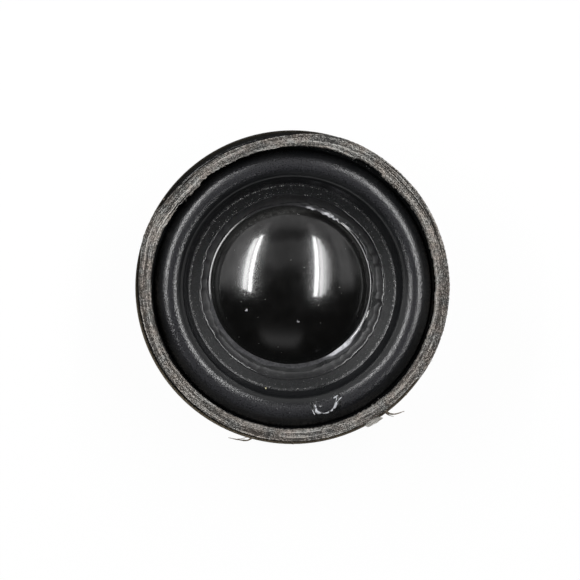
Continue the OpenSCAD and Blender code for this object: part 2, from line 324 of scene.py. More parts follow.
def startFinish(name, shine=0.5, values=None):
    finish = bpy.data.materials.new(name)
    useTree(finish, "Principled BSDF")
    for socket, value in {"Specular IOR Level": shine, **(values or {})}.items():
        bench["shader"].inputs[socket].default_value = value
    return finish


def fill(socket, value):
    if isinstance(value, bpy.types.NodeSocket):
        bench["tree"].links.new(value, socket)
    else:
        socket.default_value = value


def addNode(kind, values=None, **settings):
    node = bench["tree"].nodes.new("ShaderNode" + kind)
    for setting, value in settings.items():
        setattr(node, setting, value)
    for socket, value in (values or {}).items():
        fill(node.inputs[socket], value)
    return node


def maths(operation, *values):
    return addNode("Math", dict(enumerate(values)), operation=operation).outputs[0]


def times(first, second):
    return maths("MULTIPLY", first, second)


def sumOf(first, second, share=1.0):
    return maths("MULTIPLY_ADD", second, share, first)


def vector(operation, *values):
    return addNode("VectorMath", dict(enumerate(values)), operation=operation)


def place():
    # where a point lies on the piece, in mm
    where = addNode("TexCoord").outputs["Object"]
    return vector("MULTIPLY", where, (1000, 1000, 1000)).outputs[0]


def flatPlace(where):
    return vector("MULTIPLY", where, (1, 1, 0)).outputs[0]


def reach(where):
    # distance from the driver's axis, in mm
    return vector("LENGTH", flatPlace(where)).outputs["Value"]


usualRadius = 18                   # mm, where roundPlace is true to scale


def roundPlace(along, across, up):
    # the same, drawn out along circles about the axis; along, across and up are grains a mm
    where = place()
    way = vector("NORMALIZE", flatPlace(where)).outputs[0]
    ring = vector("MULTIPLY", way, (along * usualRadius,) * 3).outputs[0]
    rise = times(addNode("SeparateXYZ", {0: where}).outputs["Z"], up)
    lifted = addNode("CombineXYZ", {"Z": sumOf(rise, reach(where), across)}).outputs[0]
    return vector("ADD", ring, lifted).outputs[0]


def marked(name):
    return addNode("Attribute", attribute_name=name).outputs["Fac"]


def spots(where, size, detail=3.0, harsh=0.5):
    # soft random spots about as wide as size
    return addNode("TexNoise", {
        "Vector": where, "Scale": 1 / size, "Detail": detail, "Roughness": harsh}).outputs["Fac"]


def remap(value, low, high, first=0.0, last=1.0):
    return addNode("MapRange", {
        "Value": value, "From Min": low, "From Max": high, "To Min": first, "To Max": last}).outputs["Result"]


def tint(share, *colours):
    mix = addNode("Mix", {0: share}, data_type="RGBA")
    for socket, colour in zip((6, 7), colours):
        fill(mix.inputs[socket], (*colour, 1) if isinstance(colour, tuple) else colour)
    return mix.outputs[2]


def hump(value, middle, spread):
    # 1 at the middle, falling smoothly to 0 a few spreads away
    away = maths("DIVIDE", maths("SUBTRACT", value, middle), spread)
    return maths("POWER", 0.3679, times(away, away))


def dent(height, depth, strength=1.0, socket="Normal"):
    # bump in the surface, depth in mm
    bump = addNode("Bump", {"Height": height, "Distance": depth * mm, "Strength": strength})
    fill(bench["shader"].inputs[socket], bump.outputs[0])


def paint(colour, rough=None):
    fill(bench["shader"].inputs["Base Color"], colour)
    if rough is not None:
        fill(bench["shader"].inputs["Roughness"], rough)


def grainFinish(name, first, last, rough, size, depth, values=None, stretch=None):
    # two colours and two roughnesses mixed by grain of one size, with the grain in relief
    finish = startFinish(name, values=values)
    grain = spots(roundPlace(*stretch) if stretch else place(), size, 4, 0.55)
    share = remap(sumOf(grain, spots(place(), 2.4, 3), 0.8), 0.65, 1.15)
    paint(tint(share, first, last), remap(share, 0, 1, *rough))
    dent(grain, depth)
    return finish


# How pieces join the frame

def addPiece(name, parts, finish, body, slot, *replaced):
    # body None leaves the piece unattached
    piece = addMesh(name, parts, finish)
    if body:
        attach(piece, body)
    if replaced:
        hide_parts(*replaced)
    return piece


def flex(piece, share):
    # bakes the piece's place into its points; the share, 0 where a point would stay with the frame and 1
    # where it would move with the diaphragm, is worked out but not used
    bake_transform(piece)
    share = smooth(np.clip(share, 0, 1)).astype(np.float32)


def flexRing(piece, outer, inner):
    # the share is 0 outside the outer radius and 1 inside the inner one
    places = np.array([v.co[:2] for v in piece.data.vertices], np.float32) / mm
    flex(piece, (outer - np.hypot(*places.T)) / (outer - inner))


sharpFrom = radians(38)       # corners of the CAD parts that turn more than this are rounded


def dress(finish, edges):
    # a better finish on CAD nodes that stay, and how far in mm their sharp edges are rounded
    for name, width in edges.items():
        node = nodes[name]
        node.material_slots[0].material = finish
        node.modifiers.new("weld", "WELD").merge_threshold = 1e-6
        bevel = node.modifiers.new("edges", "BEVEL")
        bevel.width = width * mm
        bevel.segments = 2
        bevel.limit_method = "ANGLE"
        bevel.angle_limit = sharpFrom
        node.modifiers.new("shading", "WEIGHTED_NORMAL")


# The picture looks straight down on the driver, which lies on its back

picture = {
    "pixels": 580,               # each way
    "scale": 7.87,               # pixels for a millimetre of the rim
    "rimHeight": 14.8,           # mm above the floor
    "lens": 135,
    "sensor": 36,
    "centre": (-0.28, -0.36),    # mm, what lies in the middle of the picture
}


def placeCamera(size):
    data = bpy.data.cameras.new("camera")
    data.lens = size["lens"]
    data.sensor_width = size["sensor"]
    data.clip_start = 0.01
    distance = size["pixels"] / size["scale"] * size["lens"] / size["sensor"]
    camera = addObject("camera", data)
    camera.location = Vector((*size["centre"], size["rimHeight"] + distance)) * mm
    bpy.context.scene.camera = camera


# Two strip lamps above, each with dimmer panels beside it, in a pale tent that is open at the near side.
# Glow is what a mirror would show, where 1 is white. Places are in heights of the lamps above the driver.

studio = {
    "height": 0.30,              # m
    # each strip: side, its two ends, its width, then its panels:
    # distance from the strip, width, glow, and where along the strip they start and end
    "strips": (
        ("left", -1, ((-0.735, -0.125), (-0.63, 1.12)), 0.09, (
            (0.034, 0.12, 13.0, 0.02, 0.94), (0.148, 0.09, 3.0, 0.03, 0.8), (0.238, 0.1, 1.3, 0.04, 0.6),
            (-0.135, 0.2, 0.5, 1.02, 1.5))),
        ("right", 1, ((0.412, -0.19), (0.506, 1.02)), 0.07, (
            (0.028, 0.07, 10.5, 0.0, 0.98), (0.095, 0.08, 6.0, 0.03, 0.86), (0.175, 0.07, 2.4, 0.1, 0.74),
            (0.245, 0.06, 1.2, 0.2, 0.62), (-0.135, 0.2, 0.45, 1.02, 1.5)))),
    "stripGlow": 24.0,
    # the tent between the strips, by how far it leans to the far side
    "farGlow": ((-0.35, 0.0), (-0.1, 0.0), (0.14, 0.025), (0.24, 0.05), (0.31, 0.20), (0.42, 0.30),
                (0.8, 0.30), (0.9, 0.16), (0.97, 0.07), (1.17, 0.09), (1.4, 0.38), (1.9, 0.55), (3.2, 0.57)),
    "sideGlow": 0.70,
    "nearGlow": 0.01,
    "cardGlow": 0.33,            # a faint card at the near side
    "card": (-0.22, 0.46, -1.32, 0.36),   # its middle and half width, across and along
    "bandGlow": 0.85,            # near the horizon
    "floorSize": 4.0,            # m
    "floorDrop": 0.02,           # mm below the driver
    "floorWhite": 0.955,
}


def hangStrip(name, ends, width, glow, aside=0.0, span=(0.0, 1.0)):
    # a lamp that faces straight down, between two places, moved aside by a share of the height
    height = studio["height"]
    first, last = [Vector((*end, 1)) * height for end in ends]
    start, end = [first.lerp(last, share) for share in span]
    way = (end - start).normalized()
    lamp = bpy.data.lights.new(name, "AREA")
    lamp.shape = "RECTANGLE"
    lamp.size = width * height
    lamp.size_y = (end - start).length
    lamp.energy = glow * pi * lamp.size * lamp.size_y
    piece = addObject(name, lamp)
    piece.location = (start + end) / 2 + Vector((way.y, -way.x, 0)) * aside * height
    piece.rotation_euler = (0, 0, atan2(-way.x, way.y))
    piece.visible_camera = False


def pitchTent(size):
    world = bpy.data.worlds.new("tent")
    bpy.context.scene.world = world
    useTree(world, "Background")
    way = addNode("SeparateXYZ", {0: addNode("TexCoord").outputs["Generated"]})
    up = maths("MAXIMUM", way.outputs["Z"], 0.05)
    lean = maths("DIVIDE", way.outputs["Y"], up)
    aside = maths("DIVIDE", way.outputs["X"], up)
    # folds in the tent cloth
    cloth = addNode("CombineXYZ", {"X": aside, "Y": times(lean, 0.45)}).outputs[0]
    folds = spots(cloth, 0.28, 3, 0.6)
    stops = size["farGlow"]
    low = stops[0][0]
    high = stops[-1][0]
    bent = sumOf(lean, maths("SUBTRACT", folds, 0.5), 0.12)
    ramp = addNode("ValToRGB", {"Fac": remap(bent, low, high)})
    elements = ramp.color_ramp.elements
    for k, (where, glow) in enumerate(stops):
        spot = (where - low) / (high - low)
        element = elements[k] if k < 2 else elements.new(spot)
        element.position = spot
        element.color = (glow, glow, glow, 1)
    sides = times(remap(maths("ABSOLUTE", aside), 0.95, 1.15), remap(lean, -0.22, 0.15, 0, size["sideGlow"]))
    sides = times(sides, remap(aside, 1.6, 1.95, 1.0, 0.12))
    glow = maths("MAXIMUM", ramp.outputs["Color"], sides)
    glow = times(glow, remap(folds, 0.3, 0.7, 0.72, 1.28))
    middle, half, back, depth = size["card"]
    across = maths("ABSOLUTE", maths("SUBTRACT", sumOf(aside, folds, 0.5), middle + 0.25))
    card = times(remap(across, half * 1.15, half * 0.75), hump(lean, back, depth))
    glow = maths("ADD", glow, sumOf(size["nearGlow"], card, size["cardGlow"]))
    band = remap(way.outputs["Z"], 0.18, 0.30, 1.0, 0.0)
    whole = addNode("Mix", {0: band, 2: glow, 3: size["bandGlow"]}, data_type="FLOAT")
    fill(bench["shader"].inputs["Color"], (1, 1, 1, 1))
    fill(bench["shader"].inputs["Strength"], whole.outputs[0])


def layFloor(size):
    half = size["floorSize"] / 2 / mm
    corners = [(half * x, half * y, -size["floorDrop"]) for x, y in ((-1, -1), (1, -1), (1, 1), (-1, 1))]
    finish = startFinish("floorWhite", values={"Roughness": 0.9})
    paint(tint(spots(place(), 60), (0.86, 0.86, 0.86), (0.9, 0.9, 0.9)))
    # a pale backdrop to the camera and in reflections, and a plain white sheet to every other ray
    rays = addNode("LightPath").outputs
    seen = maths("MAXIMUM", rays["Is Camera Ray"], rays["Is Glossy Ray"])
    share = times(maths("MAXIMUM", seen, rays["Is Transmission Ray"]), size["floorWhite"])
    white = addNode("Emission").outputs[0]
    lit = addNode("MixShader", {0: share, 1: bench["shader"].outputs[0], 2: white}).outputs[0]
    # the sheet can be seen through from below
    side = addNode("NewGeometry").outputs["Backfacing"]
    clear = addNode("BsdfTransparent").outputs[0]
    both = addNode("MixShader", {0: side, 1: lit, 2: clear}).outputs[0]
    fill(finish.node_tree.nodes["Material Output"].inputs["Surface"], both)
    addMesh("floor", [(corners, [(0, 1, 2, 3)])], finish)


placeCamera(picture)
for side, sign, ends, width, panels in studio["strips"]:
    hangStrip(side + "Strip", ends, width, studio["stripGlow"])
    for k, (gap, panelWidth, glow, *span) in enumerate(panels):
        aside = sign * (width / 2 + gap + panelWidth / 2)
        hangStrip(side + "Panel" + str(k), ends, panelWidth, glow, aside, span)
pitchTent(studio)
layFloor(studio)
bpy.context.scene.view_settings.view_transform = "Standard"
print("camera, lamps and floor placed")


# Front gasket: a ring cut from wound paper tube, with open plies and loose fibres.
# Edges are pairs of direction in degrees from +X and radius in mm.

gasket = {
    "outerEdge": [
        (0, 19.84), (72, 19.84), (80, 19.60), (90, 19.17), (100, 18.93), (112, 18.86), (125, 18.87),
        (135, 19.04), (148, 19.38), (151, 19.79), (161, 19.83), (172, 19.42), (184, 19.31), (225, 19.26),
        (240, 19.34), (270, 19.45), (323, 19.47), (325, 19.79), (345, 19.84)],
    "innerEdge": [
        (0, 18.19), (14, 18.14), (30, 18.20), (48, 18.02), (51, 18.10), (52, 18.32), (62, 18.30), (64, 18.04),
        (76, 18.12), (88, 17.80), (98, 17.64), (110, 17.51), (124, 17.52), (127, 17.66), (128.5, 17.44),
        (131.3, 17.50), (132.2, 17.33), (137.5, 17.29), (139, 17.42), (143, 17.46), (144, 17.58),
        (153, 17.68), (155, 17.86), (170, 17.90), (205, 17.92), (212, 17.98), (218, 17.90), (232, 17.82),
        (270, 18.02), (315, 18.14)],
    "plies": 7,
    "plySeam": 0.013,           # mm between plies that still hold together
    # open splits: the ply edge that opens, its two ends in degrees, and how wide
    "splits": [(1, 134, 155, 0.12), (5, 10, 34, 0.09), (4, 22, 52, 0.1), (6, 36, 60, 0.08),
               (6, 130, 138, 0.14), (3, 44, 60, 0.05), (2, 196, 236, 0.04), (5, 250, 300, 0.03)],
    "ragged": 0.038,            # mm that the edges wander
    "cutDepth": 0.06,           # mm of unevenness in the cut face
    "rollClear": 17.93,         # mm, the least radius below, beside the roll
    "lines": 1400,
    "fibres": 170,
    "fibreSteps": 5,
    "fibreSides": 4,
    "limit": 19.95,             # mm, no fibre ends further out
    "noiseRadius": 19,          # mm, the circle on which the cut face's unevenness is taken
}


def paperFinish():
    finish = startFinish("woundPaper", 0.15, {"Roughness": 0.95})
    streaks = spots(roundPlace(2.8, 8.5, 1.5), 1, 4, 0.7)
    fleck = spots(place(), 0.17, 3, 0.8)
    share = remap(sumOf(sumOf(marked("plyTone"), streaks, 0.8), fleck, 3.4), 2.44, 3.10)
    warm = spots(place(), 1.6, 3)
    dark = tint(remap(warm, 0.4, 0.62), (0.040, 0.039, 0.037), (0.055, 0.048, 0.042))
    pale = tint(remap(warm, 0.4, 0.65), (0.435, 0.43, 0.41), (0.455, 0.41, 0.37))
    paint(tint(share, dark, pale))
    dent(sumOf(streaks, fleck), 0.05, 0.9)
    return finish


def makeGasket(size, finish):
    bottom, top = [corner.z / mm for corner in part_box("front_gasket")]
    angles = evenAngles(size["lines"])
    outer = edgeLine(size["outerEdge"], angles)
    outer += size["ragged"] * (0.4 * wander(angles, 3, 60, 260, 40) + 0.5 * wander(angles, 7, 9, 50))
    outer = np.minimum(outer, cadHigh.x / mm - 0.02)
    inner = edgeLine(size["innerEdge"], angles)
    inner += size["ragged"] * (wander(angles, 4, 30, 240, 40) + wander(angles, 6, 9, 44))
    plies = size["plies"]

    def seam(edge):
        # half the seam at this ply edge, round the ring
        if edge in (0, plies):
            return 0
        gap = np.full(len(angles), size["plySeam"])
        for which, start, end, width in size["splits"]:
            if which == edge:
                along = np.clip((np.degrees(angles) - start) / (end - start), 0, 1)
                gap += width * np.sin(pi * along) ** 0.6
        return gap / 2

    edges = []
    for k in range(plies + 1):
        loose = 0.16 * wander(angles, 20 + k, 2, 30) if 0 < k < plies else 0
        edges.append(inner + (outer - inner) * (k + loose) / plies)
    parts = []
    tones = []
    pick = random.Random(5)
    circle = columns((np.cos(angles) * size["noiseRadius"], np.sin(angles) * size["noiseRadius"], 0))
    depth = size["cutDepth"]
    for k in range(plies):
        near = edges[k] + seam(k)
        far = np.maximum(edges[k + 1] - seam(k + 1), near + 0.05)
        width = far - near
        step = pick.uniform(0, 0.5)
        crown = top - depth * (0.35 + step + 0.3 * wander(angles, 60 + k, 3, 40))
        # below, the plies stay clear of the roll
        bend = np.clip((size["rollClear"] - near) * (1 - k / plies), 0, None)
        fine = [unevenness(circle + (0, 0, k * 3.0 + s), 0.13, 7.3) for s in range(3)]
        lip = 0.02 + 0.02 * np.abs(fine[0])
        cuts = [depth * 0.6 * f for f in fine]
        radius = [near + bend, far + bend * 0.8, far + bend * 0.5, far, far - lip * 0.4, far - 0.3 * width,
                  near + 0.35 * width, near + lip * 0.4, near, near + bend * 0.6]
        height = [bottom, bottom, bottom + 0.9, crown - 0.09, crown - 0.03 + cuts[0], crown + cuts[1],
                  crown + cuts[2], crown - 0.03 + cuts[1], crown - 0.09, bottom + 0.9]
        parts.append(beadPart(radius, [np.minimum(h, top) for h in height], angles, 1))
        shade = 0.5 + 0.2 * wander(angles, 90 + k, 1, 16) + pick.uniform(-0.1, 0.1)
        tones.append(np.repeat(shade, len(radius)))
    piece = addPiece("front_gasket_paper", parts, finish, "frame", "gasket_paper", "front_gasket")
    mark(piece, "plyTone", tones)
    return inner, outer, top


def gasketFibres(size, inner, outer, top, finish):
    # loose fibres along both edges and on the cut face
    pick = random.Random(11)
    steps = size["fibreSteps"]
    sides = size["fibreSides"]
    parts = []
    for _ in range(size["fibres"]):
        at = pick.randrange(size["lines"])
        angle = fullTurn * at / size["lines"]
        where = pick.choice(("in", "in", "out", "face", "face"))
        if where == "face":
            radius = pick.uniform(inner[at] + 0.2, outer[at] - 0.2)
            drift = pick.uniform(-0.4, 0.4)
        else:
            radius, drift = (inner[at] + 0.03, -1) if where == "in" else (outer[at] - 0.04, 1)
        length = pick.uniform(0.15, 0.6)
        turning = pick.uniform(-1.2, 1.2)
        heading = angle + pi / 2 + pick.choice((0, pi)) - drift * pick.uniform(0.1, 0.7)
        spot = np.array(around(radius, angle, top - pick.uniform(0.02, 0.1)))
        path = [spot]
        for _ in range(steps):
            heading += turning / steps
            step = np.array((cos(heading), sin(heading), pick.uniform(-0.12, 0.12)))
            spot = spot + step * length / steps
            spot[:2] *= min(1, size["limit"] / hypot(spot[0], spot[1]))
            spot[2] = min(spot[2], top - 0.03)
            path.append(spot)
        parts.append(tubePart(path, np.linspace(1, 0.4, steps + 1) * pick.uniform(0.012, 0.024), sides))
    piece = addPiece("front_gasket_fibres", parts, finish, "frame", "gasket_paper")
    mark(piece, "plyTone", np.repeat([pick.uniform(0.5, 1.1) for _ in parts], (steps + 1) * sides))


paper = paperFinish()
gasketFibres(gasket, *makeGasket(gasket, paper), paper)
print("front gasket made")


# Surround: a moulded rubber half roll whose inner lip is glued on the cone

surround = {
    "lipInner": 11.8,           # mm, radius of the inner lip's edge
    "lipSlope": 0.5,            # rise of the inner lip for each mm outwards
    "lipEnd": 13.2,             # mm, radius where the inner lip has turned into the roll
    "lipOuter": 19.3,
    "crest": 15.6,
    "rollRadius": 1.9,
    "rollHeight": 2.0,
    "footRadius": 0.4,
    "innerLean": 30,            # degrees from upright
    "outerLean": 10,
    "thickness": 0.35,
    "lines": 1100,
    "topSteps": (0.16, 3.2),    # mm and degrees from point to point, along the top
    "underSteps": (0.9, 10),    # and on the under side
    "foldAt": 12.98,            # mm, radius of the fold at the roll's inner foot
    "foldWidth": 0.16,
    "grain": 0.035,             # mm of moulded grain at the folds
    "rollShift": (0.19, -0.165, -0.04),   # mm that the roll sits off centre, and off its radius
    "rollFeet": ((13.1, 1.3), (18.3, 1.2)),   # mm, radius of each foot, and how soon the shift is full
    "flexes": (17.9, 13.4),     # mm, the radii between which flexRing's share runs
}


def lipRubberFinish():
    # the smooth inner lip, duller than the roll
    finish = startFinish("lipRubber", 0.22)
    where = place()
    cloud = spots(where, 2.2, 4)
    grain = spots(where, 0.17, 2, 0.6)
    black = tint(cloud, (0.002, 0.0022, 0.0024), (0.005, 0.0054, 0.0057))
    speckle = remap(spots(where, 0.16, 2, 0.7), 0.42, 0.66)
    paint(tint(speckle, black, (0.021, 0.0217, 0.023)), remap(sumOf(cloud, grain, 0.6), 0.5, 1.1, 0.36, 0.5))
    dent(grain, 0.034)
    return finish


def rubberFinish(size):
    finish = startFinish("mouldedRubber")
    where = place()
    cloud = spots(where, 3.0, 4)
    grain = spots(where, 0.17, 1, 0.5)
    out = reach(where)
    lines = hump(out, size["foldAt"], 0.2)
    # the fold shines only in beads
    plain = times(lines, remap(spots(where, 0.2, 2), 0.56, 0.46))
    rough = sumOf(remap(sumOf(cloud, grain, 0.6), 0.5, 1.1, 0.17, 0.22), plain, 0.4)
    black = tint(remap(cloud, 0.35, 0.7), (0.003, 0.0034, 0.0038), (0.0065, 0.007, 0.0076))
    # the roll's foot has pale speckles of dust, painted paler to lift the shade in its fold, and its crest is
    # painted paler in speckles too: a painted sheen with painted glints
    dust = remap(spots(where, 0.15, 2, 0.6), 0.38, 0.64, 0.3, 2.1)
    black = tint(times(hump(out, size["foldAt"] + 0.45, 0.45), dust), black, (0.0105, 0.0108, 0.0118))
    # painted sheen and glints on the crest, from the same speckles
    paint(tint(times(hump(out, size["crest"], 0.75), dust), black, (0.027, 0.027, 0.030)), rough)
    fine = times(grain, remap(out, 13.9, 14.7, 0.12, 1.1))
    dent(sumOf(fine, times(lines, spots(where, 0.13, 1)), 1.4), 0.03)
    return finish


def surroundLine(size, straight, turnStep):
    # the middle of the sheet, from the inner lip to the outer lip
    slope = size["lipSlope"]
    roll = size["rollRadius"]
    half = size["thickness"] / 2
    # the sheet's lowest point is the inner lip's under side
    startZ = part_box("surround")[0].z / mm + half / hypot(1, slope)
    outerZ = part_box("basket")[1].z / mm + 0.02 + half
    crestZ = outerZ + size["rollHeight"]
    lean = tan(radians(size["innerLean"]))
    inTop = size["crest"] - roll * tan(radians(90 - size["innerLean"]) / 2)
    outTop = size["crest"] + roll * tan(radians(90 - size["outerLean"]) / 2)
    lipZero = startZ - slope * size["lipInner"]
    innerFoot = (inTop - (crestZ - lipZero) * lean) / (1 - slope * lean)
    outerFoot = outTop + size["rollHeight"] * tan(radians(size["outerLean"]))
    corners = [(size["lipInner"], startZ), (innerFoot, lipZero + slope * innerFoot), (inTop, crestZ),
               (outTop, crestZ), (outerFoot, outerZ), (size["lipOuter"], outerZ)]
    return bentLine(corners, (size["footRadius"], roll, roll, size["footRadius"]), straight, turnStep)


def rollShift(radius, angles):
    # how far outwards the roll is pushed at each place; nothing moves at its two feet
    across, along, outwards = surround["rollShift"]
    (inner, inRun), (outer, outRun) = surround["rollFeet"]
    share = np.minimum(np.clip((radius - inner) / inRun, 0, 1), np.clip((outer - radius) / outRun, 0, 1))
    return smooth(share) * (across * np.cos(angles) + along * np.sin(angles) + outwards)


def makeSurround(size):
    # the two lines end at the same places, so the section closes
    lines = [surroundLine(size, *size[steps]) for steps in ("topSteps", "underSteps")]
    section, out, isTop = sheetSection(*lines, size["thickness"], 0.05)
    angles = evenAngles(size["lines"])
    radius = section[:, 0]
    fold = np.exp(-((radius - size["foldAt"]) / size["foldWidth"]) ** 2) * isTop
    rough = fold > 0.05
    grain = np.zeros((len(angles), len(section)))
    grain[:, rough] = ringNoise(section[rough], angles, 0.14, 3.1)
    lift = 0.008 * np.outer(wander(angles, 31, 2, 9), isTop) + grain * fold * size["grain"]
    ring = liftedRing(section, out, angles, lift, rollShift(radius, angles[:, None]))
    piece = addPiece("surround_rubber", [ring], rubberFinish(size), None, "rubber", "surround")
    piece.data.materials.append(lipRubberFinish())
    onLip = (radius < size["foldAt"] + 0.05).astype(np.int32)
    piece.data.polygons.foreach_set("material_index", np.tile(onLip, len(angles)))
    flexRing(piece, *size["flexes"])
    return section[isTop]


surroundTop = makeSurround(surround)


def topBetween(start, end):
    # radius and height of the surround's upper face between two radii
    part = surroundTop[(surroundTop[:, 0] > start) & (surroundTop[:, 0] < end)]
    return part[np.argsort(part[:, 0])].T


# Gate mark: where the rubber entered the mould, a round scar on the roll with a torn edge

gateMark = {
    "centre": (4.24, -14.60),   # mm
    # the torn ridge: direction from the centre in degrees, distance in mm, and how high it stands
    "ridge": [
        (0, 1.30, 1.2), (14, 1.42, 1.1), (30, 1.46, 0.9), (48, 1.38, 0.3), (70, 1.32, 0.12),
        (110, 1.28, 0.12), (150, 1.26, 0.25), (185, 1.26, 0.5), (205, 1.40, 0.8), (222, 1.58, 1.4),
        (240, 1.54, 1.3), (255, 1.40, 0.8), (275, 1.26, 0.9), (300, 1.24, 1.0), (325, 1.24, 1.1),
        (345, 1.26, 1.3)],
    "height": 0.17,             # mm, of the strongest part
    # how wide the ridge is, by direction
    "width": [(0, 0.15), (20, 0.08), (60, 0.06), (150, 0.07), (195, 0.1), (215, 0.22), (240, 0.19),
              (258, 0.09), (290, 0.1), (320, 0.15), (345, 0.19)],
    # torn strands beside it: two ends from the centre, how high and how wide
    "strands": [((1.2, -0.1), (1.98, 0.68), 1.2, 0.09), ((1.05, 0.6), (1.45, 0.88), 1.2, 0.1),
                ((-0.72, -0.5), (-0.6, -0.42), 0.7, 0.18), ((-1.7, -0.95), (-1.4, -1.5), 1.0, 0.09)],
    "dish": 0.05,               # mm deep inside the ridge
    "edge": 2.25,               # mm, where the scar has run out
    "rollEnd": 17.35,           # mm, radius where the roll under it ends
}


def tornRubberFinish():
    finish = startFinish("tornRubber", 0.6)
    where = place()
    grain = spots(where, 0.12, 3)
    dark = tint(grain, (0.004, 0.0044, 0.005), (0.009, 0.0094, 0.010))
    # the ridge is painted pale along its share: a painted highlight on the torn rubber
    pale = remap(sumOf(marked("torn"), spots(where, 0.2, 3, 0.6), 0.9), 0.92, 1.35)
    paint(tint(pale, dark, (0.50, 0.51, 0.54)), remap(grain, 0.35, 0.65, 0.14, 0.3))
    dent(grain, 0.03, 0.8)
    return finish


def makeGateMark(size):
    roll = topBetween(surround["lipEnd"], size["rollEnd"])
    pick = random.Random(8)
    waves = [(pick.randint(3, 16), pick.uniform(0, fullTurn)) for _ in range(9)]
    ways, lines, strengths = np.transpose(size["ridge"])
    widths = np.interp(ways, *np.transpose(size["width"]), period=360)
    shares = []

    def shape(share, angle, isTop):
        distance = share * size["edge"]
        here = np.array((distance * cos(angle), distance * sin(angle)))
        x, y = here + size["centre"]
        out = hypot(x, y)
        ground = np.interp(out - float(rollShift(out, atan2(y, x))), *roll)
        line, strong, wide = [
            np.interp(degrees(angle), ways, values, period=360) for values in (lines, strengths, widths)]
        torn = sum(cos(n * angle + phase) for n, phase in waves) / 3
        line += 0.04 * torn
        ridge = size["height"] * strong * (1 + 0.4 * torn) * exp(-((distance - line) / wide) ** 2)
        for first, last, high, thick in size["strands"]:
            run = np.subtract(last, first)
            along = np.clip(np.dot(here - first, run) / np.dot(run, run), 0, 1)
            away = hypot(*(here - first - along * run))
            ridge = max(ridge, size["height"] * high * (1 + 0.3 * torn) * exp(-(away / thick) ** 2))
        inside = 1 / (1 + exp((distance - line) / 0.06))
        dish = -size["dish"] * inside * (1 - 0.6 * exp(-(distance / 0.5) ** 2))
        lift = 0.006 + ridge + dish - 0.03 * max(0, (share - 0.86) / 0.14)
        # the ridge's share here, which the finish paints pale as a painted highlight
        shares.append(min(1, max(0, ridge) / size["height"]) if isTop else 0)
        return (x, y, ground + (lift if isTop else -0.12 * (1 - share ** 8) - 0.024))

    scar = discPart(shape, lines=170, rings=60)
    piece = addPiece("surround_gate_mark", [scar], tornRubberFinish(), None, "rubber")
    mark(piece, "torn", shares)
    flexRing(piece, *surround["flexes"])


makeGateMark(gateMark)
print("surround and gate mark made")


# Dust cap and cone: what the box of the cap tells about both

capLow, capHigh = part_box("dust_cap")
capMiddle = (capLow + capHigh) / 2 / mm
capFoot = (capHigh.x - capLow.x) / 2 / mm
capTop = capHigh.z / mm
seatZ = capLow.z / mm              # top of the cone's flat seat
capRadius = (capFoot ** 2 + (capTop - seatZ) ** 2) / (2 * (capTop - seatZ))
capCentreZ = capTop - capRadius


def capHeight(away):
    # height of the dome at a distance from its middle
    return capCentreZ + sqrt(capRadius ** 2 - away ** 2)


# Cone: black felted paper under the lip and the dust cap. Measures are in mm.

cone = {
    "inner": 9.65,
    "seat": 11.3,               # radius where the flat seat ends, in the middle of the sheet
    "topSeat": 0.07,            # and how much sooner it ends on top
    "outer": 13.4,
    "slope": 0.5,               # rise for each mm outwards
    "bend": 0.6,
    "thickness": 0.3,
    "felt": 0.012,              # unevenness
    "topSteps": (0.12, 4),      # mm and degrees from point to point, along the top
    "underSteps": (0.4, 8),
    "lines": 480,
}


def coneTop(radius):
    # height of the cone's upper face
    return seatZ + np.maximum(0, radius - cone["seat"] + cone["topSeat"]) * cone["slope"]


def makeCone(size):
    finish = startFinish("coatedBlackPaper")
    felt = spots(place(), 0.35, 5, 0.6)
    rough = remap(spots(place(), 2.0, 3), 0.35, 0.65, 0.25, 0.45)
    paint(tint(felt, (0.008, 0.0085, 0.009), (0.018, 0.0185, 0.019)), rough)
    dent(felt, 0.02, 0.6)
    middleZ = seatZ - size["thickness"] / 2
    end = (size["outer"], middleZ + size["slope"] * (size["outer"] - size["seat"]))
    corners = [(size["inner"], middleZ), (size["seat"], middleZ), end]
    lines = [bentLine(corners, (size["bend"],), *size[steps]) for steps in ("topSteps", "underSteps")]
    section, out, isTop = sheetSection(*lines, size["thickness"], 0.03)
    angles = evenAngles(size["lines"])
    lift = size["felt"] * (ringNoise(section, angles, 0.6, 1.7) - 0.4) * isTop
    ring = liftedRing(section, out, angles, lift)
    addPiece("cone_paper", [ring], finish, "diaphragm", "coated_paper", "cone")


makeCone(cone)
print("cone made")


# Black glue: the bead along the lip, with crumbs. Its lists are pairs of direction and value.

lipGlue = {
    "edge": (11.70, 13.60),     # mm, radius and height of the lip's upper edge
    # mm wide, the shiny top of the bead
    "facet": [(0, 0.26), (45, 0.12), (120, 0.13), (160, 0.2), (270, 0.18), (320, 0.27)],
    "reach": 0.8,               # mm inwards from the lip
    # degrees that the shiny top leans inwards
    "lean": [(0, 19), (30, 13), (60, 8), (110, 9), (130, 12), (180, 12.4), (225, 17.6), (235, 21), (240, 23),
             (270, 25), (300, 26), (320, 21.2)],
    # how milky the glue is
    "milkyAndSheen": [(0, 0.008), (30, 0.0), (95, 0.0), (135, 0.02), (180, 0.015), (225, 0.015), (270, 0.004),
              (315, 0.008)],
    "crumbs": 110,
    "lines": 1200,
}


def blackGlueFinish():
    finish = startFinish("blackGlue", 0.62)
    where = place()
    patch = spots(where, 0.5, 3)
    dark = tint(patch, (0.006, 0.006, 0.0065), (0.014, 0.014, 0.015))
    # pale where the glue is milky, and where the cap glue carries a painted highlight
    cloud = times(marked("milkyAndSheen"), remap(spots(where, 0.3, 3), 0.3, 0.6, 0.6, 1.15))
    rough = sumOf(remap(patch, 0.4, 0.7, 0.06, 0.16), marked("dull"), 0.38)
    paint(tint(cloud, dark, (0.56, 0.56, 0.59)), rough)
    dent(spots(where, 0.3, 3), 0.006, 0.5)
    return finish


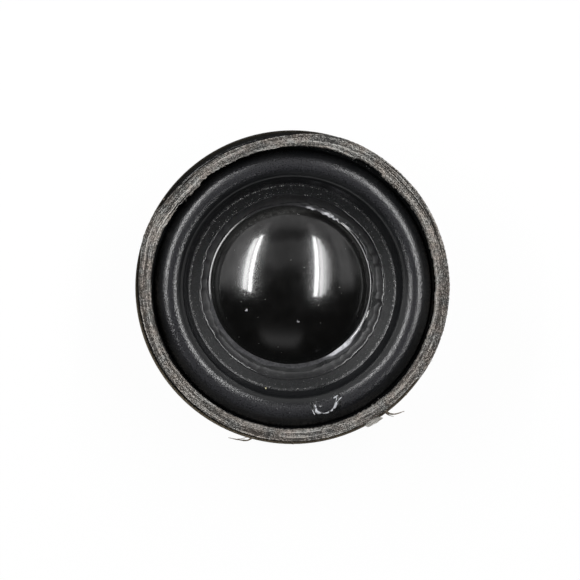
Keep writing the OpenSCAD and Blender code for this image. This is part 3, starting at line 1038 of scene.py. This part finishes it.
def makeLipGlue(size, finish):
    angles = evenAngles(size["lines"])
    edgeR, edgeZ = size["edge"]
    wave = wander(angles, 41, 2, 12)
    inwards = np.clip(size["reach"] * (1 + 0.15 * wave + 0.02 * wander(angles, 42, 20, 90)), 0.4, 1.1)
    facet = np.clip(edgeLine(size["facet"], angles) * (1 + 0.3 * wander(angles, 43, 8, 60)), 0.05, 0.34)
    unsteady = 1.2 * wander(angles, 44, 6, 40) + 1.2 * wander(angles, 47, 60, 240)
    lean = np.tan(np.radians(edgeLine(size["lean"], angles) + unsteady))
    startR = edgeR + 0.10 + 0.04 * wave + 0.02 * wander(angles, 45, 20, 110)
    startZ = edgeZ + 0.014 + 0.5 * (startR - edgeR)
    facetR = startR - facet
    facetZ = startZ - facet * lean
    footR = facetR - inwards
    footZ = coneTop(footR) + 0.004
    steps = (0.06, 0.16, 0.3, 0.46, 0.64, 0.82, 1.0)
    radius = [startR + 0.12, startR, (startR + facetR) / 2, facetR, *[facetR - inwards * t for t in steps],
              footR, startR + 0.12]
    height = [startZ - 0.03, startZ, startZ - facet / 2 * lean + 0.002, facetZ,
              *[facetZ - (facetZ - footZ) * (1 - (1 - t) ** 1.6) for t in steps],
              footZ - 0.05, coneTop(startR + 0.12) - 0.02]
    parts = [beadPart(radius, height, angles, 1)]
    pick = random.Random(17)
    for _ in range(size["crumbs"]):
        # most crumbs lie at the far side and at the right
        angle = radians(pick.choice((pick.gauss(95, 28), pick.gauss(60, 35), pick.gauss(95, 28),
                                          pick.uniform(0, 360))))
        at = pick.gauss(11.5, 0.16)
        grain = pick.uniform(0.02, 0.055)
        spot = around(at, angle, coneTop(at) + grain * 0.4)
        parts.append(grainPart(spot, grain, 1.8, pick, 0.8, 0.3))
    piece = addPiece("surround_glue_bead", parts, finish, "diaphragm", "black_glue", "surround_glue")
    milkyAndSheen = np.clip(edgeLine(size["milkyAndSheen"], angles) * (1 + 0.15 * wander(angles, 46, 2, 12)), 0, 1)
    crumbs = np.ones(len(piece.data.vertices) - len(angles) * len(radius))
    mark(piece, "milkyAndSheen", np.append(np.repeat(milkyAndSheen, len(radius)), crumbs * 0))
    # only the top of the bead is shiny
    mark(piece, "dull", np.append(np.tile(np.arange(len(radius)) > 3, len(angles)), crumbs * 0.3))


# Cap glue: a smooth fillet round the dust cap, thick in some stretches.
# Its lists are pairs of direction from the cap's middle and value.

capGlue = {
    # degrees that the fillet slopes outwards
    "lean": [(0, 12.4), (45, 17.6), (60, 23), (90, 27), (117, 27.3), (120, 26), (140, 21.2), (164, 19.2),
             (180, 19), (235, 20), (300, 16), (340, 12.9)],
    # mm, width of the fillet
    "width": [(0, 0.15), (30, 0.08), (48, 0.06), (62, 0.26), (70, 0.12), (76, 0.18), (80, 0.1), (115, 0.2),
              (150, 0.28), (180, 0.24), (215, 0.2), (250, 0.3), (285, 0.25), (298, 0.04), (325, 0.04),
              (338, 0.09), (350, 0.14)],
    # mm, how much further it climbs the dome
    "climb": [(0, 0.0), (35, 0.0), (50, 0.08), (80, 0.1), (95, 0.0), (290, 0.0), (305, 0.05), (325, 0.05),
              (340, 0.0)],
    # mm that a ridge stands off the dome, where it leans back to it
    "ridge": [(0, 0.0), (293, 0.0), (297, 0.1), (301, 0.25), (306, 0.33), (311, 0.38), (318, 0.42),
              (326, 0.38), (331, 0.24), (338, 0.1), (346, 0.03), (352, 0.0)],
    "ridgeLean": 22,            # degrees inwards
    "lumpy": (62, 13),          # degrees, where the fillet is lumpy, and how widely
    "skirt": 0.3,               # mm, the thin outer edge on the seat
    # how pale the glue is painted: milky glue, and a painted highlight in the bright stretch from 296 to 325
    # degrees; and where its skirt takes this paint too
    "milkyAndSheen": [(0, 0.02), (40, 0.01), (50, 0.06), (56, 0.5), (64, 0.6), (67, 0.2), (71, 0.04), (74, 0.6),
              (77, 0.5), (79, 0.05), (88, 0.02), (160, 0.02), (190, 0.07), (205, 0.11), (290, 0.095),
              (296, 0.2), (301, 0.75), (305, 0.95), (312, 0.95), (317, 0.5), (325, 0.26), (332, 0.16),
              (345, 0.05)],
    "milkyAndSheenSkirt": [(0, 0.1), (170, 0.1), (200, 1), (290, 1), (303, 0.12), (340, 0.1)],
    "lines": 1200,
}


def makeCapGlue(size, finish):
    angles = evenAngles(size["lines"])
    width = edgeLine(size["width"], angles) * (1 + 0.12 * wander(angles, 51, 3, 16))
    lean = np.tan(np.radians(edgeLine(size["lean"], angles) + 0.7 * wander(angles, 52, 4, 24)))
    ridge = edgeLine(size["ridge"], angles) * (1 + 0.1 * wander(angles, 53, 5, 30))
    lumpAt, lumpSpread = size["lumpy"]
    lump = 0.05 * np.exp(-((np.degrees(angles) - lumpAt) / lumpSpread) ** 2) * wander(angles, 54, 30, 110)
    # the fillet leaves the dome at the height that its slope and width ask for
    climb = np.clip(width * lean + 0.02 + lump + edgeLine(size["climb"], angles), 0.03, 0.6)
    topZ = seatZ + climb
    topR = np.sqrt(capRadius ** 2 - (topZ - capCentreZ) ** 2)
    rise = ridge * tan(radians(size["ridgeLean"]))
    fall = width * lean
    endR = topR + width
    endZ = topZ - fall
    crestR = endR + ridge
    crestZ = endZ + rise
    skirt = np.clip(size["skirt"] * (1 + 0.35 * wander(angles, 55, 3, 20)) + 0.4 * ridge, 0.08, 0.9)
    footR = crestR + skirt
    radius = [topR - 0.04, topR, topR + width * 0.33, topR + width * 0.66,
              endR, endR + ridge * 0.33, endR + ridge * 0.66,
              crestR, crestR + (footR - crestR) * 0.3, crestR + (footR - crestR) * 0.7, footR,
              footR, topR - 0.12]
    height = [topZ + 0.03, topZ, topZ - fall * 0.34 + lump * 0.3, topZ - fall * 0.67 - lump * 0.4,
              endZ, endZ + rise * 0.34, endZ + rise * 0.68,
              crestZ, crestZ - (crestZ - seatZ) * 0.5, crestZ - (crestZ - seatZ) * 0.9, seatZ - 0.005,
              seatZ - 0.05, seatZ - 0.05]
    points, faces = beadPart(radius, height, angles)
    points[:, :2] += capMiddle.xy
    piece = addPiece("cap_glue_fillet", [(points, faces)], finish, "diaphragm", "black_glue", "cap_glue")
    # milky glue, with a painted highlight from 296 to 325 degrees
    milkyAndSheen = np.clip(edgeLine(size["milkyAndSheen"], angles) * (1 + 0.12 * wander(angles, 56, 5, 40)), 0, 1)
    milkyAndSheen = np.repeat(milkyAndSheen[:, None], len(radius), 1)
    milkyAndSheen[:, :5] *= edgeLine(size["milkyAndSheenSkirt"], angles)[:, None]
    milkyAndSheen[:, -3:-1] = milkyAndSheen[:, 6:7]
    mark(piece, "milkyAndSheen", milkyAndSheen)


blackGlue = blackGlueFinish()
makeLipGlue(lipGlue, blackGlue)
makeCapGlue(capGlue, blackGlue)
print("glue beads made")


# Dust cap: a glossy black film dome with two specks under the film

dustCap = {
    "wall": 0.25,
    "grid": 200,
    "ripple": 0.005,            # mm of unevenness
    "rippleSize": 5.0,
    "specks": ((-5.83, -2.89, 0.045), (0.74, -4.28, 0.06)),   # mm: place and height
    "speckSize": 0.15,
    "paintedReflection": (9.65, 0.5),        # mm, radius and width of the painted reflection along the edge
    "paintedReflectionSide": (-0.4, 0.92, 0),   # which way from the middle it lies
    "paintedReflectionFrom": (7.2, 9.0),     # mm that way, where it starts and where it is full
}


def capFilmFinish(size):
    finish = startFinish("blackFilm", values={"Coat Weight": 1.0, "Coat Roughness": 0.05})
    where = place()
    smudge = spots(where, 1.6, 4)
    # the far edge is painted paler: a painted reflection in the film
    far = vector("DOT_PRODUCT", where, size["paintedReflectionSide"]).outputs["Value"]
    paintedReflection = times(hump(reach(where), *size["paintedReflection"]), remap(far, *size["paintedReflectionFrom"]))
    paintedReflection = times(paintedReflection, remap(spots(where, 0.4, 4, 0.6), 0.35, 0.62, 0.4, 1.1))
    black = tint(smudge, (0.0022, 0.0022, 0.0021), (0.0045, 0.0045, 0.0043))
    paint(tint(paintedReflection, black, (0.033, 0.033, 0.032)), remap(smudge, 0.35, 0.7, 0.16, 0.23))
    dent(spots(where, 0.2, 3, 0.55), 0.012)
    # the lacquer on top is nearly flat
    dent(spots(where, 0.13, 2, 0.6), 0.0018, 1.0, "Coat Normal")
    return finish


def squareToDisc(u, v):
    # even square grid to even round grid, so that the dome has no pole
    if u == 0 and v == 0:
        return 0.0, 0.0
    if abs(u) > abs(v):
        across = u
        angle = pi / 4 * v / u
    else:
        across = v
        angle = pi / 2 - pi / 4 * u / v
    return across * cos(angle), across * sin(angle)


def makeDustCap(size):
    side = size["grid"] + 1
    inside = capRadius - size["wall"]
    insideFoot = sqrt(inside ** 2 - (seatZ - capCentreZ) ** 2)
    points = []
    for radius, edge, isTop in ((capRadius, capFoot, True), (inside, insideFoot, False)):
        widest = asin(edge / radius)
        for k in range(side * side):
            x, y = squareToDisc(2 * (k // side) / size["grid"] - 1, 2 * (k % side) / size["grid"] - 1)
            share = hypot(x, y)
            arm = radius
            if isTop:
                spot = Vector((x, y, 0.7)) * capFoot / size["rippleSize"]
                arm += size["ripple"] * (noise.noise(spot) - 0.7) * (1 - share ** 4)
            across = arm * sin(widest * share) / max(share, 1e-9)
            height = capCentreZ + arm * cos(widest * share)
            x = capMiddle.x + across * x
            y = capMiddle.y + across * y
            for speckX, speckY, high in size["specks"] if isTop else ():
                height += high * exp(-((x - speckX) ** 2 + (y - speckY) ** 2) / size["speckSize"] ** 2)
            points.append((x, y, height))
    half = side * side
    step = np.arange(side - 1)
    tops = wallFaces(step[:, None], step, step[:, None] + 1, step + 1, side)
    faces = np.stack((tops, half + tops[:, [0, 3, 2, 1]]), 1).reshape(-1, 4).tolist()
    # the wall that joins both sides along the rim
    number = np.arange(half).reshape(side, side)
    rim = [*number[:, 0], *number[-1, 1:], *number[-2::-1, -1], *number[0, -2:0:-1]]
    faces += [(a, half + a, half + b, b) for a, b in zip(rim, rim[1:] + rim[:1])]
    finish = capFilmFinish(size)
    addPiece("dust_cap_dome", [(points, [faces])], finish, "diaphragm", "cap_film", "dust_cap")


makeDustCap(dustCap)
print("dust cap made")


# Rim glue: what was pressed out past the surround's outer lip onto the flange

rimGlue = {
    # section in mm: radius and height above the flange, from the lip outwards
    "section": ((19.30, 0.34), (19.42, 0.24), (19.56, 0.09), (19.66, 0.05), (19.74, 0.10),
                (19.83, 0.20), (19.91, 0.17), (19.96, 0.05)),
    "limit": 19.975,
    "paleFrom": 4,              # the first point of the section that shows pale
    # how pale it is: direction and share
    "pale": [(0, 0.2), (60, 0.12), (85, 0.05), (150, 0.05), (178, 0.1), (192, 0.35), (225, 0.55),
             (265, 0.6), (285, 0.45), (340, 0.25)],
    "lines": 1200,
}


def makeRimGlue(size):
    finish = startFinish("rimGlue", 0.12)
    grain = spots(place(), 0.12, 4, 0.7)
    share = times(marked("pale"), remap(grain, 0.3, 0.6))
    paint(tint(share, (0.004, 0.004, 0.0035), (0.42, 0.35, 0.25)), remap(grain, 0.35, 0.65, 0.55, 0.85))
    dent(grain, 0.03)
    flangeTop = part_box("basket")[1].z / mm
    angles = evenAngles(size["lines"])
    radius = []
    height = []
    for k, (r, z) in enumerate(size["section"]):
        radius.append(np.minimum(r + 0.012 * wander(angles, 70 + k, 20, 200, 30), size["limit"]))
        height.append(flangeTop + z * (1 + 0.25 * wander(angles, 80 + k, 10, 160, 30)))
    radius += [size["section"][-1][0], size["section"][0][0]]
    height += [flangeTop - 0.01] * 2
    bead = beadPart(radius, height, angles)
    piece = addPiece("rim_glue_bead", [bead], finish, "frame", "clear_glue", "rim_glue")
    pale = edgeLine(size["pale"], angles)
    shows = [size["paleFrom"] <= k < len(size["section"]) for k in range(len(radius))]
    mark(piece, "pale", np.outer(pale, shows[::-1]))


makeRimGlue(rimGlue)
print("rim glue made")


# Spider: a corrugated cloth disc, dipped in varnish, and the bead that holds its rim

spider = {
    "inner": 9.95,
    "outer": 15.9,
    "waves": (10.55, 14.9, 4),  # mm, where the waves start and end, and how many
    "low": 9.145,               # mm, the flat parts
    "waveHeight": 0.45,
    "thickness": 0.25,
    "thread": 0.34,             # mm between threads
    "fray": (0.012, -0.008),    # mm that the threads stand out, and where from
    "lines": 480,
    "bead": ((15.86, 9.0), (15.92, 9.16), (16.02, 9.29), (16.14, 9.28), (16.24, 9.16), (16.30, 9.02)),
    "beadFoot": ((16.28, 8.99), (15.88, 8.99)),
    "beadLines": 720,
}


def spiderFinish(size):
    finish = startFinish("varnishedCloth", 0.35)
    where = place()
    bands = [addNode("TexWave", {
        "Vector": where, "Scale": pi / 10 / size["thread"], "Distortion": 0.4, "Detail": 1.0},
        bands_direction=axis).outputs["Fac"] for axis in ("X", "Y")]
    weave = maths("MAXIMUM", *bands)
    share = sumOf(times(weave, 0.6), spots(where, 1.4, 4), 0.4)
    paint(tint(share, (0.22, 0.11, 0.03), (0.52, 0.33, 0.13)), remap(share, 0.2, 0.8, 0.75, 0.5))
    dent(weave, 0.07)
    return finish


def makeSpider(size):
    start, end, waves = size["waves"]

    def waveLine(step):
        count = ceil((size["outer"] - size["inner"]) / step)
        radius = np.linspace(size["inner"], size["outer"], count)
        share = np.clip((radius - start) / (end - start), 0, 1)
        height = size["low"] + size["waveHeight"] * (1 - np.cos(fullTurn * waves * share)) / 2
        return np.stack((radius, height), -1)

    section, out, _ = sheetSection(waveLine(0.1), waveLine(0.16), size["thickness"], 0.03)
    angles = evenAngles(size["lines"])
    fray, start = size["fray"]
    ring = liftedRing(section, out, angles, fray * ringNoise(section, angles, 0.3, 5.5) + start)
    piece = addPiece("spider_cloth", [ring], spiderFinish(size), None, "spider_cloth", "spider")
    flexRing(piece, size["outer"], size["inner"] + 0.3)


def makeSpiderGlue(size):
    clear = grainFinish("clearGlue", (0.30, 0.19, 0.07), (0.50, 0.36, 0.16), (0.18, 0.4), 0.4, 0.02,
                        {"Coat Weight": 0.4})
    angles = evenAngles(size["beadLines"])
    radius = []
    height = []
    ends = (0, len(size["bead"]) - 1)
    for k, (r, z) in enumerate(size["bead"]):
        radius.append(r + 0.02 * wander(angles, 110 + k, 3, 60, 24))
        unsteady = 0 if k in ends else 0.03
        height.append(z + unsteady * wander(angles, 120 + k, 4, 50, 24))
    feet, floors = zip(*size["beadFoot"])
    bead = beadPart(radius + [*feet], height + [*floors], angles)
    addPiece("spider_glue_bead", [bead], clear, "frame", "clear_glue", "spider_glue")


makeSpider(spider)
makeSpiderGlue(spider)
print("spider made")


# Voice coil: an outer layer of turns over the inner one

coil = {
    "core": (9.635, 9.80),      # mm, the inner layer
    "wire": 0.16,
    "turns": 24,
    "lines": 240,
    "turnSteps": 90,
}


def makeCoil(size, finish):
    low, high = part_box("voice_coil")
    bottom = low.z / mm
    top = high.z / mm
    inner, outer = size["core"]
    wire = size["wire"]
    rise = np.linspace(bottom + wire / 2, top - wire / 2, 3 * size["turns"])
    radius = [*(outer + 0.01 * np.cos(fullTurn * (rise - bottom) / wire)), inner, inner]
    section = (radius, [*rise, top - 0.02, bottom + 0.02])
    parts = [ringPart(*[np.tile(line, (size["lines"], 1)) for line in section], evenAngles(size["lines"]))]
    turn = np.linspace(0, fullTurn * size["turns"], size["turns"] * size["turnSteps"] + 1)
    climb = bottom + wire / 2 + (top - bottom - wire) * turn / turn[-1]
    at = high.x / mm - wire / 2
    parts.append(tubePart(columns((at * np.cos(turn), at * np.sin(turn), climb)), wire / 2, 6))
    addPiece("voice_coil_winding", parts, finish, "diaphragm", "copper_wire", "voice_coil")


metal = {"Metallic": 1.0}
enamel = {"Coat Weight": 0.7, "Coat Tint": (0.9, 0.55, 0.3, 1)}
copper = grainFinish("enamelledCopper", (0.62, 0.24, 0.09), (0.83, 0.38, 0.17), (0.2, 0.34), 0.3, 0.004,
                     {**metal, **enamel})
makeCoil(coil, copper)
print("voice coil wound")


# Tinsel leads: braided from eight strands, from the cone to the tags. The second mirrors the first.

leads = {
    "route": (
        (2.52, -10.11, 11.78), (2.58, -10.3, 11.2), (2.8, -11.1, 10.7), (3.2, -12.5, 10.6),
        (3.6, -14.2, 10.8), (3.9, -15.8, 10.7), (4.2, -16.9, 10.1), (4.3, -17.3, 9.2), (4.3, -17.2, 8.3),
        (4.3, -16.9, 7.6)),
    "strands": 8,
    "strandRadius": 0.056,
    "braidRadius": 0.195,
    "braidPitch": 2.1,          # mm along the lead for a full turn of a strand
    "weave": 0.04,              # mm that strands pass over and under
    "moves": (0.6, 5.4),        # mm along the lead, where the share given to flex runs from 1 to 0
}


def makeLead(size, name, side, finish):
    curve, across, other = alongPath(curveThrough(np.array(size["route"]) * (side, 1, 1), 16))
    along = np.append(0, np.cumsum(np.linalg.norm(np.diff(curve, axis=0), axis=1)))
    start, end = size["moves"]
    share = (end - along) / (end - start)
    parts = []
    for k in range(size["strands"]):
        way = 1 if k % 2 else -1
        angle = way * fullTurn * along / size["braidPitch"] + fullTurn * (k // 2) / (size["strands"] / 2)
        off = size["braidRadius"] + way * size["weave"] * np.cos(2 * angle + 0.8)
        path = curve + across * (off * np.cos(angle))[:, None] + other * (off * np.sin(angle))[:, None]
        parts.append(tubePart(path, size["strandRadius"], 6))
    shares = [np.repeat(share, 6)] * len(parts) + [np.repeat(share, 8)]
    parts.append(tubePart(curve, size["braidRadius"] - 0.03, 8))
    flex(addPiece(name + "_braid", parts, finish, None, "tinsel", name), np.concatenate(shares))


tinsel = grainFinish("tinsel", (0.55, 0.32, 0.20), (0.80, 0.58, 0.44), (0.25, 0.42), 0.2, 0.006, metal)
makeLead(leads, "lead_positive", 1, tinsel)
makeLead(leads, "lead_negative", -1, tinsel)


# Joints of the leads: glue under the cone, and solder on the tags

joints = {
    "anchorRadius": 0.64,       # mm
    "solderRadius": 0.93,
    "solderSide": 4.3,          # mm from the middle plane
    "solderBack": -16.9,        # mm, along Y
}


def makeAnchors(size, finish):
    bottom, top = [corner.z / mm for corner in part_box("lead_anchors")]
    startX, startY = leads["route"][0][:2]
    parts = []
    for side in (-1, 1):

        def shape(share, angle, isTop):
            radius = size["anchorRadius"] * share * (1 + 0.06 * cos(3 * angle + side))
            depth = (top - bottom) * (1 - share ** 2.6) ** 0.7
            depth *= 1 + 0.05 * sin(2 * angle + side)
            return around(radius, angle, top if isTop else max(top - depth, bottom), (side * startX, startY))

        parts.append(discPart(shape, lines=40, rings=12))
    addPiece("lead_anchor_beads", parts, finish, "diaphragm", "black_glue", "lead_anchors")


def makeSolder(size):
    solder = grainFinish("solder", (0.42, 0.42, 0.43), (0.72, 0.72, 0.74), (0.2, 0.42), 0.25, 0.012, metal)
    low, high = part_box("lead_solder")
    base = low.z / mm
    rise = high.z / mm - base
    parts = []
    for side in (-1, 1):

        def shape(share, angle, isTop):
            rough = noise.noise(Vector(around(share, angle, side * 2.0)) * 1.7)
            radius = size["solderRadius"] * share * (1 + 0.03 * cos(2 * angle + side))
            # a skirt that thins out on the tag, under a rounded top
            lift = rise * (0.72 * (1 - share ** 2) ** 1.5 + 0.26 * (1 - share) ** 0.6) * (1 + 0.12 * rough)
            height = base + min(lift, rise) if isTop else base - 0.005
            return around(radius, angle, height, (side * size["solderSide"], size["solderBack"]))

        parts.append(discPart(shape, lines=60, rings=20))
    addPiece("lead_solder_joints", parts, solder, "frame", "solder", "lead_solder")


makeAnchors(joints, blackGlue)
makeSolder(joints)
print("leads, anchors and solder made")


# Small things: a paint dot that marks the positive tag, crumbs and fibres at the rim, and dust

smallThings = {
    "dot": (2.2, -16.7, 0.55),  # mm: place on the board and radius
    # wisps at the rim: route in mm and thickness at its root
    "wisps": (
        (((11.7, -15.6, 16.2), (12.3, -16.0, 16.0), (13.1, -16.05, 15.9), (14.2, -15.7, 15.8)), 0.2),
        (((11.6, -15.7, 15.6), (12.2, -16.2, 15.5), (12.9, -16.4, 15.4)), 0.1),
        (((-5.0, -19.0, 15.2), (-5.7, -19.45, 15.0), (-6.9, -19.35, 15.0), (-8.1, -19.1, 15.1)), 0.16),
        (((-5.4, -18.8, 16.4), (-6.2, -19.1, 16.3), (-7.4, -19.25, 16.1)), 0.07)),
    # crumbs at the rim: place and radii in mm
    "crumbs": (
        ((0.05, -19.76, 14.3), (0.26, 0.15, 0.2)), ((2.1, -19.7, 14.3), (0.18, 0.13, 0.2)),
        ((-1.4, -19.74, 14.8), (0.12, 0.1, 0.15)), ((14.4, -13.6, 15.4), (0.16, 0.14, 0.2)),
        ((-16.3, 11.2, 14.3), (0.14, 0.12, 0.12))),
    "flake": (10.25, -17.1, 14.25, 1.2, 0.45, 24),   # mm: place, two radii, and its turn in degrees
    "specksInFilm": ((-5.83, -2.89, 0.12), (0.74, -4.28, 0.14)),   # mm: place and size, on the dome
    "speck": (-3.35, -12.88, 0.09),                 # mm: place and size, on the lip
    "dust": 230,                # grains here and there
    "dustOnCone": (10.9, 11.6),   # mm, between these radii
    "dustOnLip": (11.9, 13.1),
    # pale grains along the moulded lines, dust that also paints their dotted glints: radius and its spread in
    # mm, from and to in degrees, and how many
    "dustAndGlintLines": ((12.98, 0.035, 0, 360, 230), (12.98, 0.05, 95, 170, 120),
                  (11.72, 0.09, 100, 165, 90), (11.9, 0.35, 55, 150, 70), (11.6, 0.3, 20, 60, 30)),
}


def makeDot(size):
    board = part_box("terminal_board")[1].z / mm
    red = grainFinish("redPaint", (0.50, 0.02, 0.015), (0.62, 0.035, 0.02), (0.3, 0.5), 0.3, 0.01)
    *middle, dotRadius = size["dot"]

    def dot(share, angle, isTop):
        radius = dotRadius * share * (1 + 0.05 * cos(3 * angle + 1) + 0.03 * cos(7 * angle))
        return around(radius, angle, board + 0.04 * (1 - share ** 6) if isTop else board - 0.005, middle)

    addPiece("polarity_dot", [discPart(dot, lines=48, rings=8)], red, "frame", "fibre_board")


def makeCrumbs(size, pick):
    brown = grainFinish("paperCrumb", (0.07, 0.055, 0.04), (0.24, 0.2, 0.15), (0.8, 0.95), 0.15, 0.03)
    parts = []
    for route, thick in size["wisps"]:
        path = curveThrough(route, 7)
        uneven = np.array([pick.uniform(0.75, 1.2) for _ in path])
        parts.append(tubePart(path, thick * (1 - 0.8 * np.linspace(0, 1, len(path))) * uneven, 7))
    parts += [lumpPart(spot, radii, pick) for spot, radii in size["crumbs"]]
    addPiece("rim_crumbs", parts, brown, "frame", "gasket_paper")


def makeFlake(size):
    pale = grainFinish("dryGlue", (0.36, 0.34, 0.31), (0.72, 0.70, 0.65), (0.25, 0.5), 0.5, 0.02)
    flakeX, flakeY, flakeZ, long, short, turn = size["flake"]

    def flake(share, angle, isTop):
        edge = 1 + 0.12 * cos(3 * angle + 0.6) + 0.08 * cos(7 * angle + 2)
        x = long * share * edge * cos(angle)
        y = short * share * edge * sin(angle)
        x, y = turned(x, y, radians(turn))
        height = 0.22 * (1 - share ** 2) ** 0.6
        return flakeX + x, flakeY + y, flakeZ + (height if isTop else -height * 0.8)

    addPiece("rim_glue_flake", [discPart(flake, lines=48, rings=10)], pale, "frame", "clear_glue")


def makeSpecks(size, pick):
    cream = grainFinish("creamSpeck", (0.55, 0.50, 0.28), (0.80, 0.76, 0.50), (0.5, 0.7), 0.1, 0.02)
    x, y, grain = size["speck"]
    z = np.interp(hypot(x, y), *topBetween(surround["lipInner"], 14.0)) + grain * 0.4
    speck = lumpPart((x, y, z), (grain * 1.3, grain, grain * 0.8), pick)
    addPiece("lip_speck", [speck], cream, "diaphragm", "gasket_paper")
    white = grainFinish("whiteSpeck", (0.45, 0.44, 0.5), (0.8, 0.78, 0.85), (0.3, 0.5), 0.06, 0.02)
    parts = []
    for speckX, speckY, grain in size["specksInFilm"]:
        for _ in range(5):
            x = speckX + grain * pick.uniform(-0.9, 0.9)
            y = speckY + grain * pick.uniform(-0.9, 0.9)
            z = capHeight(hypot(x - capMiddle.x, y - capMiddle.y))
            radii = grain * np.array([pick.uniform(0.5, 1.1), pick.uniform(0.3, 0.5), 0.3])
            parts.append(lumpPart((x, y, z), radii, pick, 0.25))
    addPiece("dome_specks", parts, white, "diaphragm", "cap_film")


def makeDust(size, pick):
    # fine pale dust on the dome, the cone and the lip, and pale grains on the folds that also paint their
    # glints
    finish = grainFinish("paleDust", (0.45, 0.45, 0.44), (0.75, 0.74, 0.72), (0.6, 0.9), 0.05, 0.01)
    lip = topBetween(surround["lipInner"], surround["lipEnd"])
    parts = []
    for ringRadius, spread, start, end, count in size["dustAndGlintLines"]:
        for _ in range(count):
            angle = radians(pick.uniform(start, end))
            radius = pick.gauss(ringRadius, spread)
            grain = pick.uniform(0.013, 0.029)
            onLip = radius > surround["lipInner"]
            z = np.interp(radius, *lip) if onLip else coneTop(radius) + 0.1
            parts.append(grainPart(around(radius, angle, z + grain * 0.3), grain, 1.6, pick))
    for _ in range(size["dust"]):
        angle = pick.uniform(0, fullTurn)
        grain = pick.uniform(0.01, 0.022)
        where = pick.choice(("dome", "cone", "lip", "lip", "lip"))
        if where == "dome":
            radius = capFoot * sqrt(pick.uniform(0, 0.92))
            z = capHeight(radius)
        elif where == "cone":
            radius = pick.uniform(*size["dustOnCone"])
            z = coneTop(radius)
        else:
            radius = pick.uniform(*size["dustOnLip"])
            z = np.interp(radius, *lip)
        middle = capMiddle if where == "dome" else (0, 0)
        spot = around(radius, angle, min(z + grain * 0.3, capTop - grain), middle)
        parts.append(grainPart(spot, grain, 2, pick))
    addPiece("fine_dust", parts, finish, "diaphragm", "gasket_paper")


pick = random.Random(23)
makeDot(smallThings)
makeCrumbs(smallThings, pick)
makeFlake(smallThings)
makeSpecks(smallThings, pick)
makeDust(smallThings, random.Random(37))
print("small things made")


# Finishes of the CAD parts that stay: two colours, roughness, grain size and depth, and then the nodes
# with the mm that their edges are rounded

cadFinishes = (
    ("zincPlate", (0.42, 0.43, 0.45), (0.60, 0.61, 0.62), (0.24, 0.42), 1, 0.006, metal,
     {"yoke": 0.10, "top_plate": 0.06}),
    ("nickelPlate", (0.50, 0.48, 0.44), (0.63, 0.60, 0.56), (0.14, 0.28), 0.8, 0.002, metal,
     {"magnet": 0.08}),
    ("rivetSteel", (0.40, 0.41, 0.43), (0.58, 0.59, 0.60), (0.25, 0.45), 0.25, 0.008, metal,
     {"board_rivets": 0.05}),
    ("tinPlate", (0.58, 0.57, 0.54), (0.78, 0.77, 0.73), (0.2, 0.38), 0.5, 0.004, metal,
     {"terminal_tag_positive": 0.05, "terminal_tag_negative": 0.05}),
    ("brass", (0.62, 0.42, 0.16), (0.82, 0.60, 0.27), (0.2, 0.38), 0.3, 0.006, metal,
     {"tag_rivets": 0.05}),
    ("blackPaint", (0.008, 0.0085, 0.008), (0.018, 0.019, 0.018), (0.26, 0.42), 0.22, 0.01, {},
     {"basket": 0.07}),
    ("fibreBoard", (0.16, 0.07, 0.025), (0.30, 0.15, 0.06), (0.5, 0.75), 0.2, 0.015, {},
     {"terminal_board": 0.06}),
    ("formerFilm", (0.24, 0.09, 0.015), (0.42, 0.19, 0.04), (0.2, 0.36), 0.6, 0.004, {},
     {"voice_coil_former": 0.02}),
    ("kraftPaper", (0.34, 0.21, 0.11), (0.52, 0.36, 0.2), (0.7, 0.9), 0.2, 0.02, {},
     {"coil_collar": 0.02}),
)
turnedGrain = (0.5, 9, 9)          # drawn out round the axis, as a lathe leaves it
for name, first, last, rough, grain, depth, values, edges in cadFinishes:
    stretch = turnedGrain if name == "zincPlate" else None
    dress(grainFinish(name, first, last, rough, grain, depth, values, stretch), edges)
dress(copper, {"coil_tails": 0.02})
dress(blackGlue, {"neck_glue": 0.04, "cone_glue": 0.04})
print("CAD parts dressed")
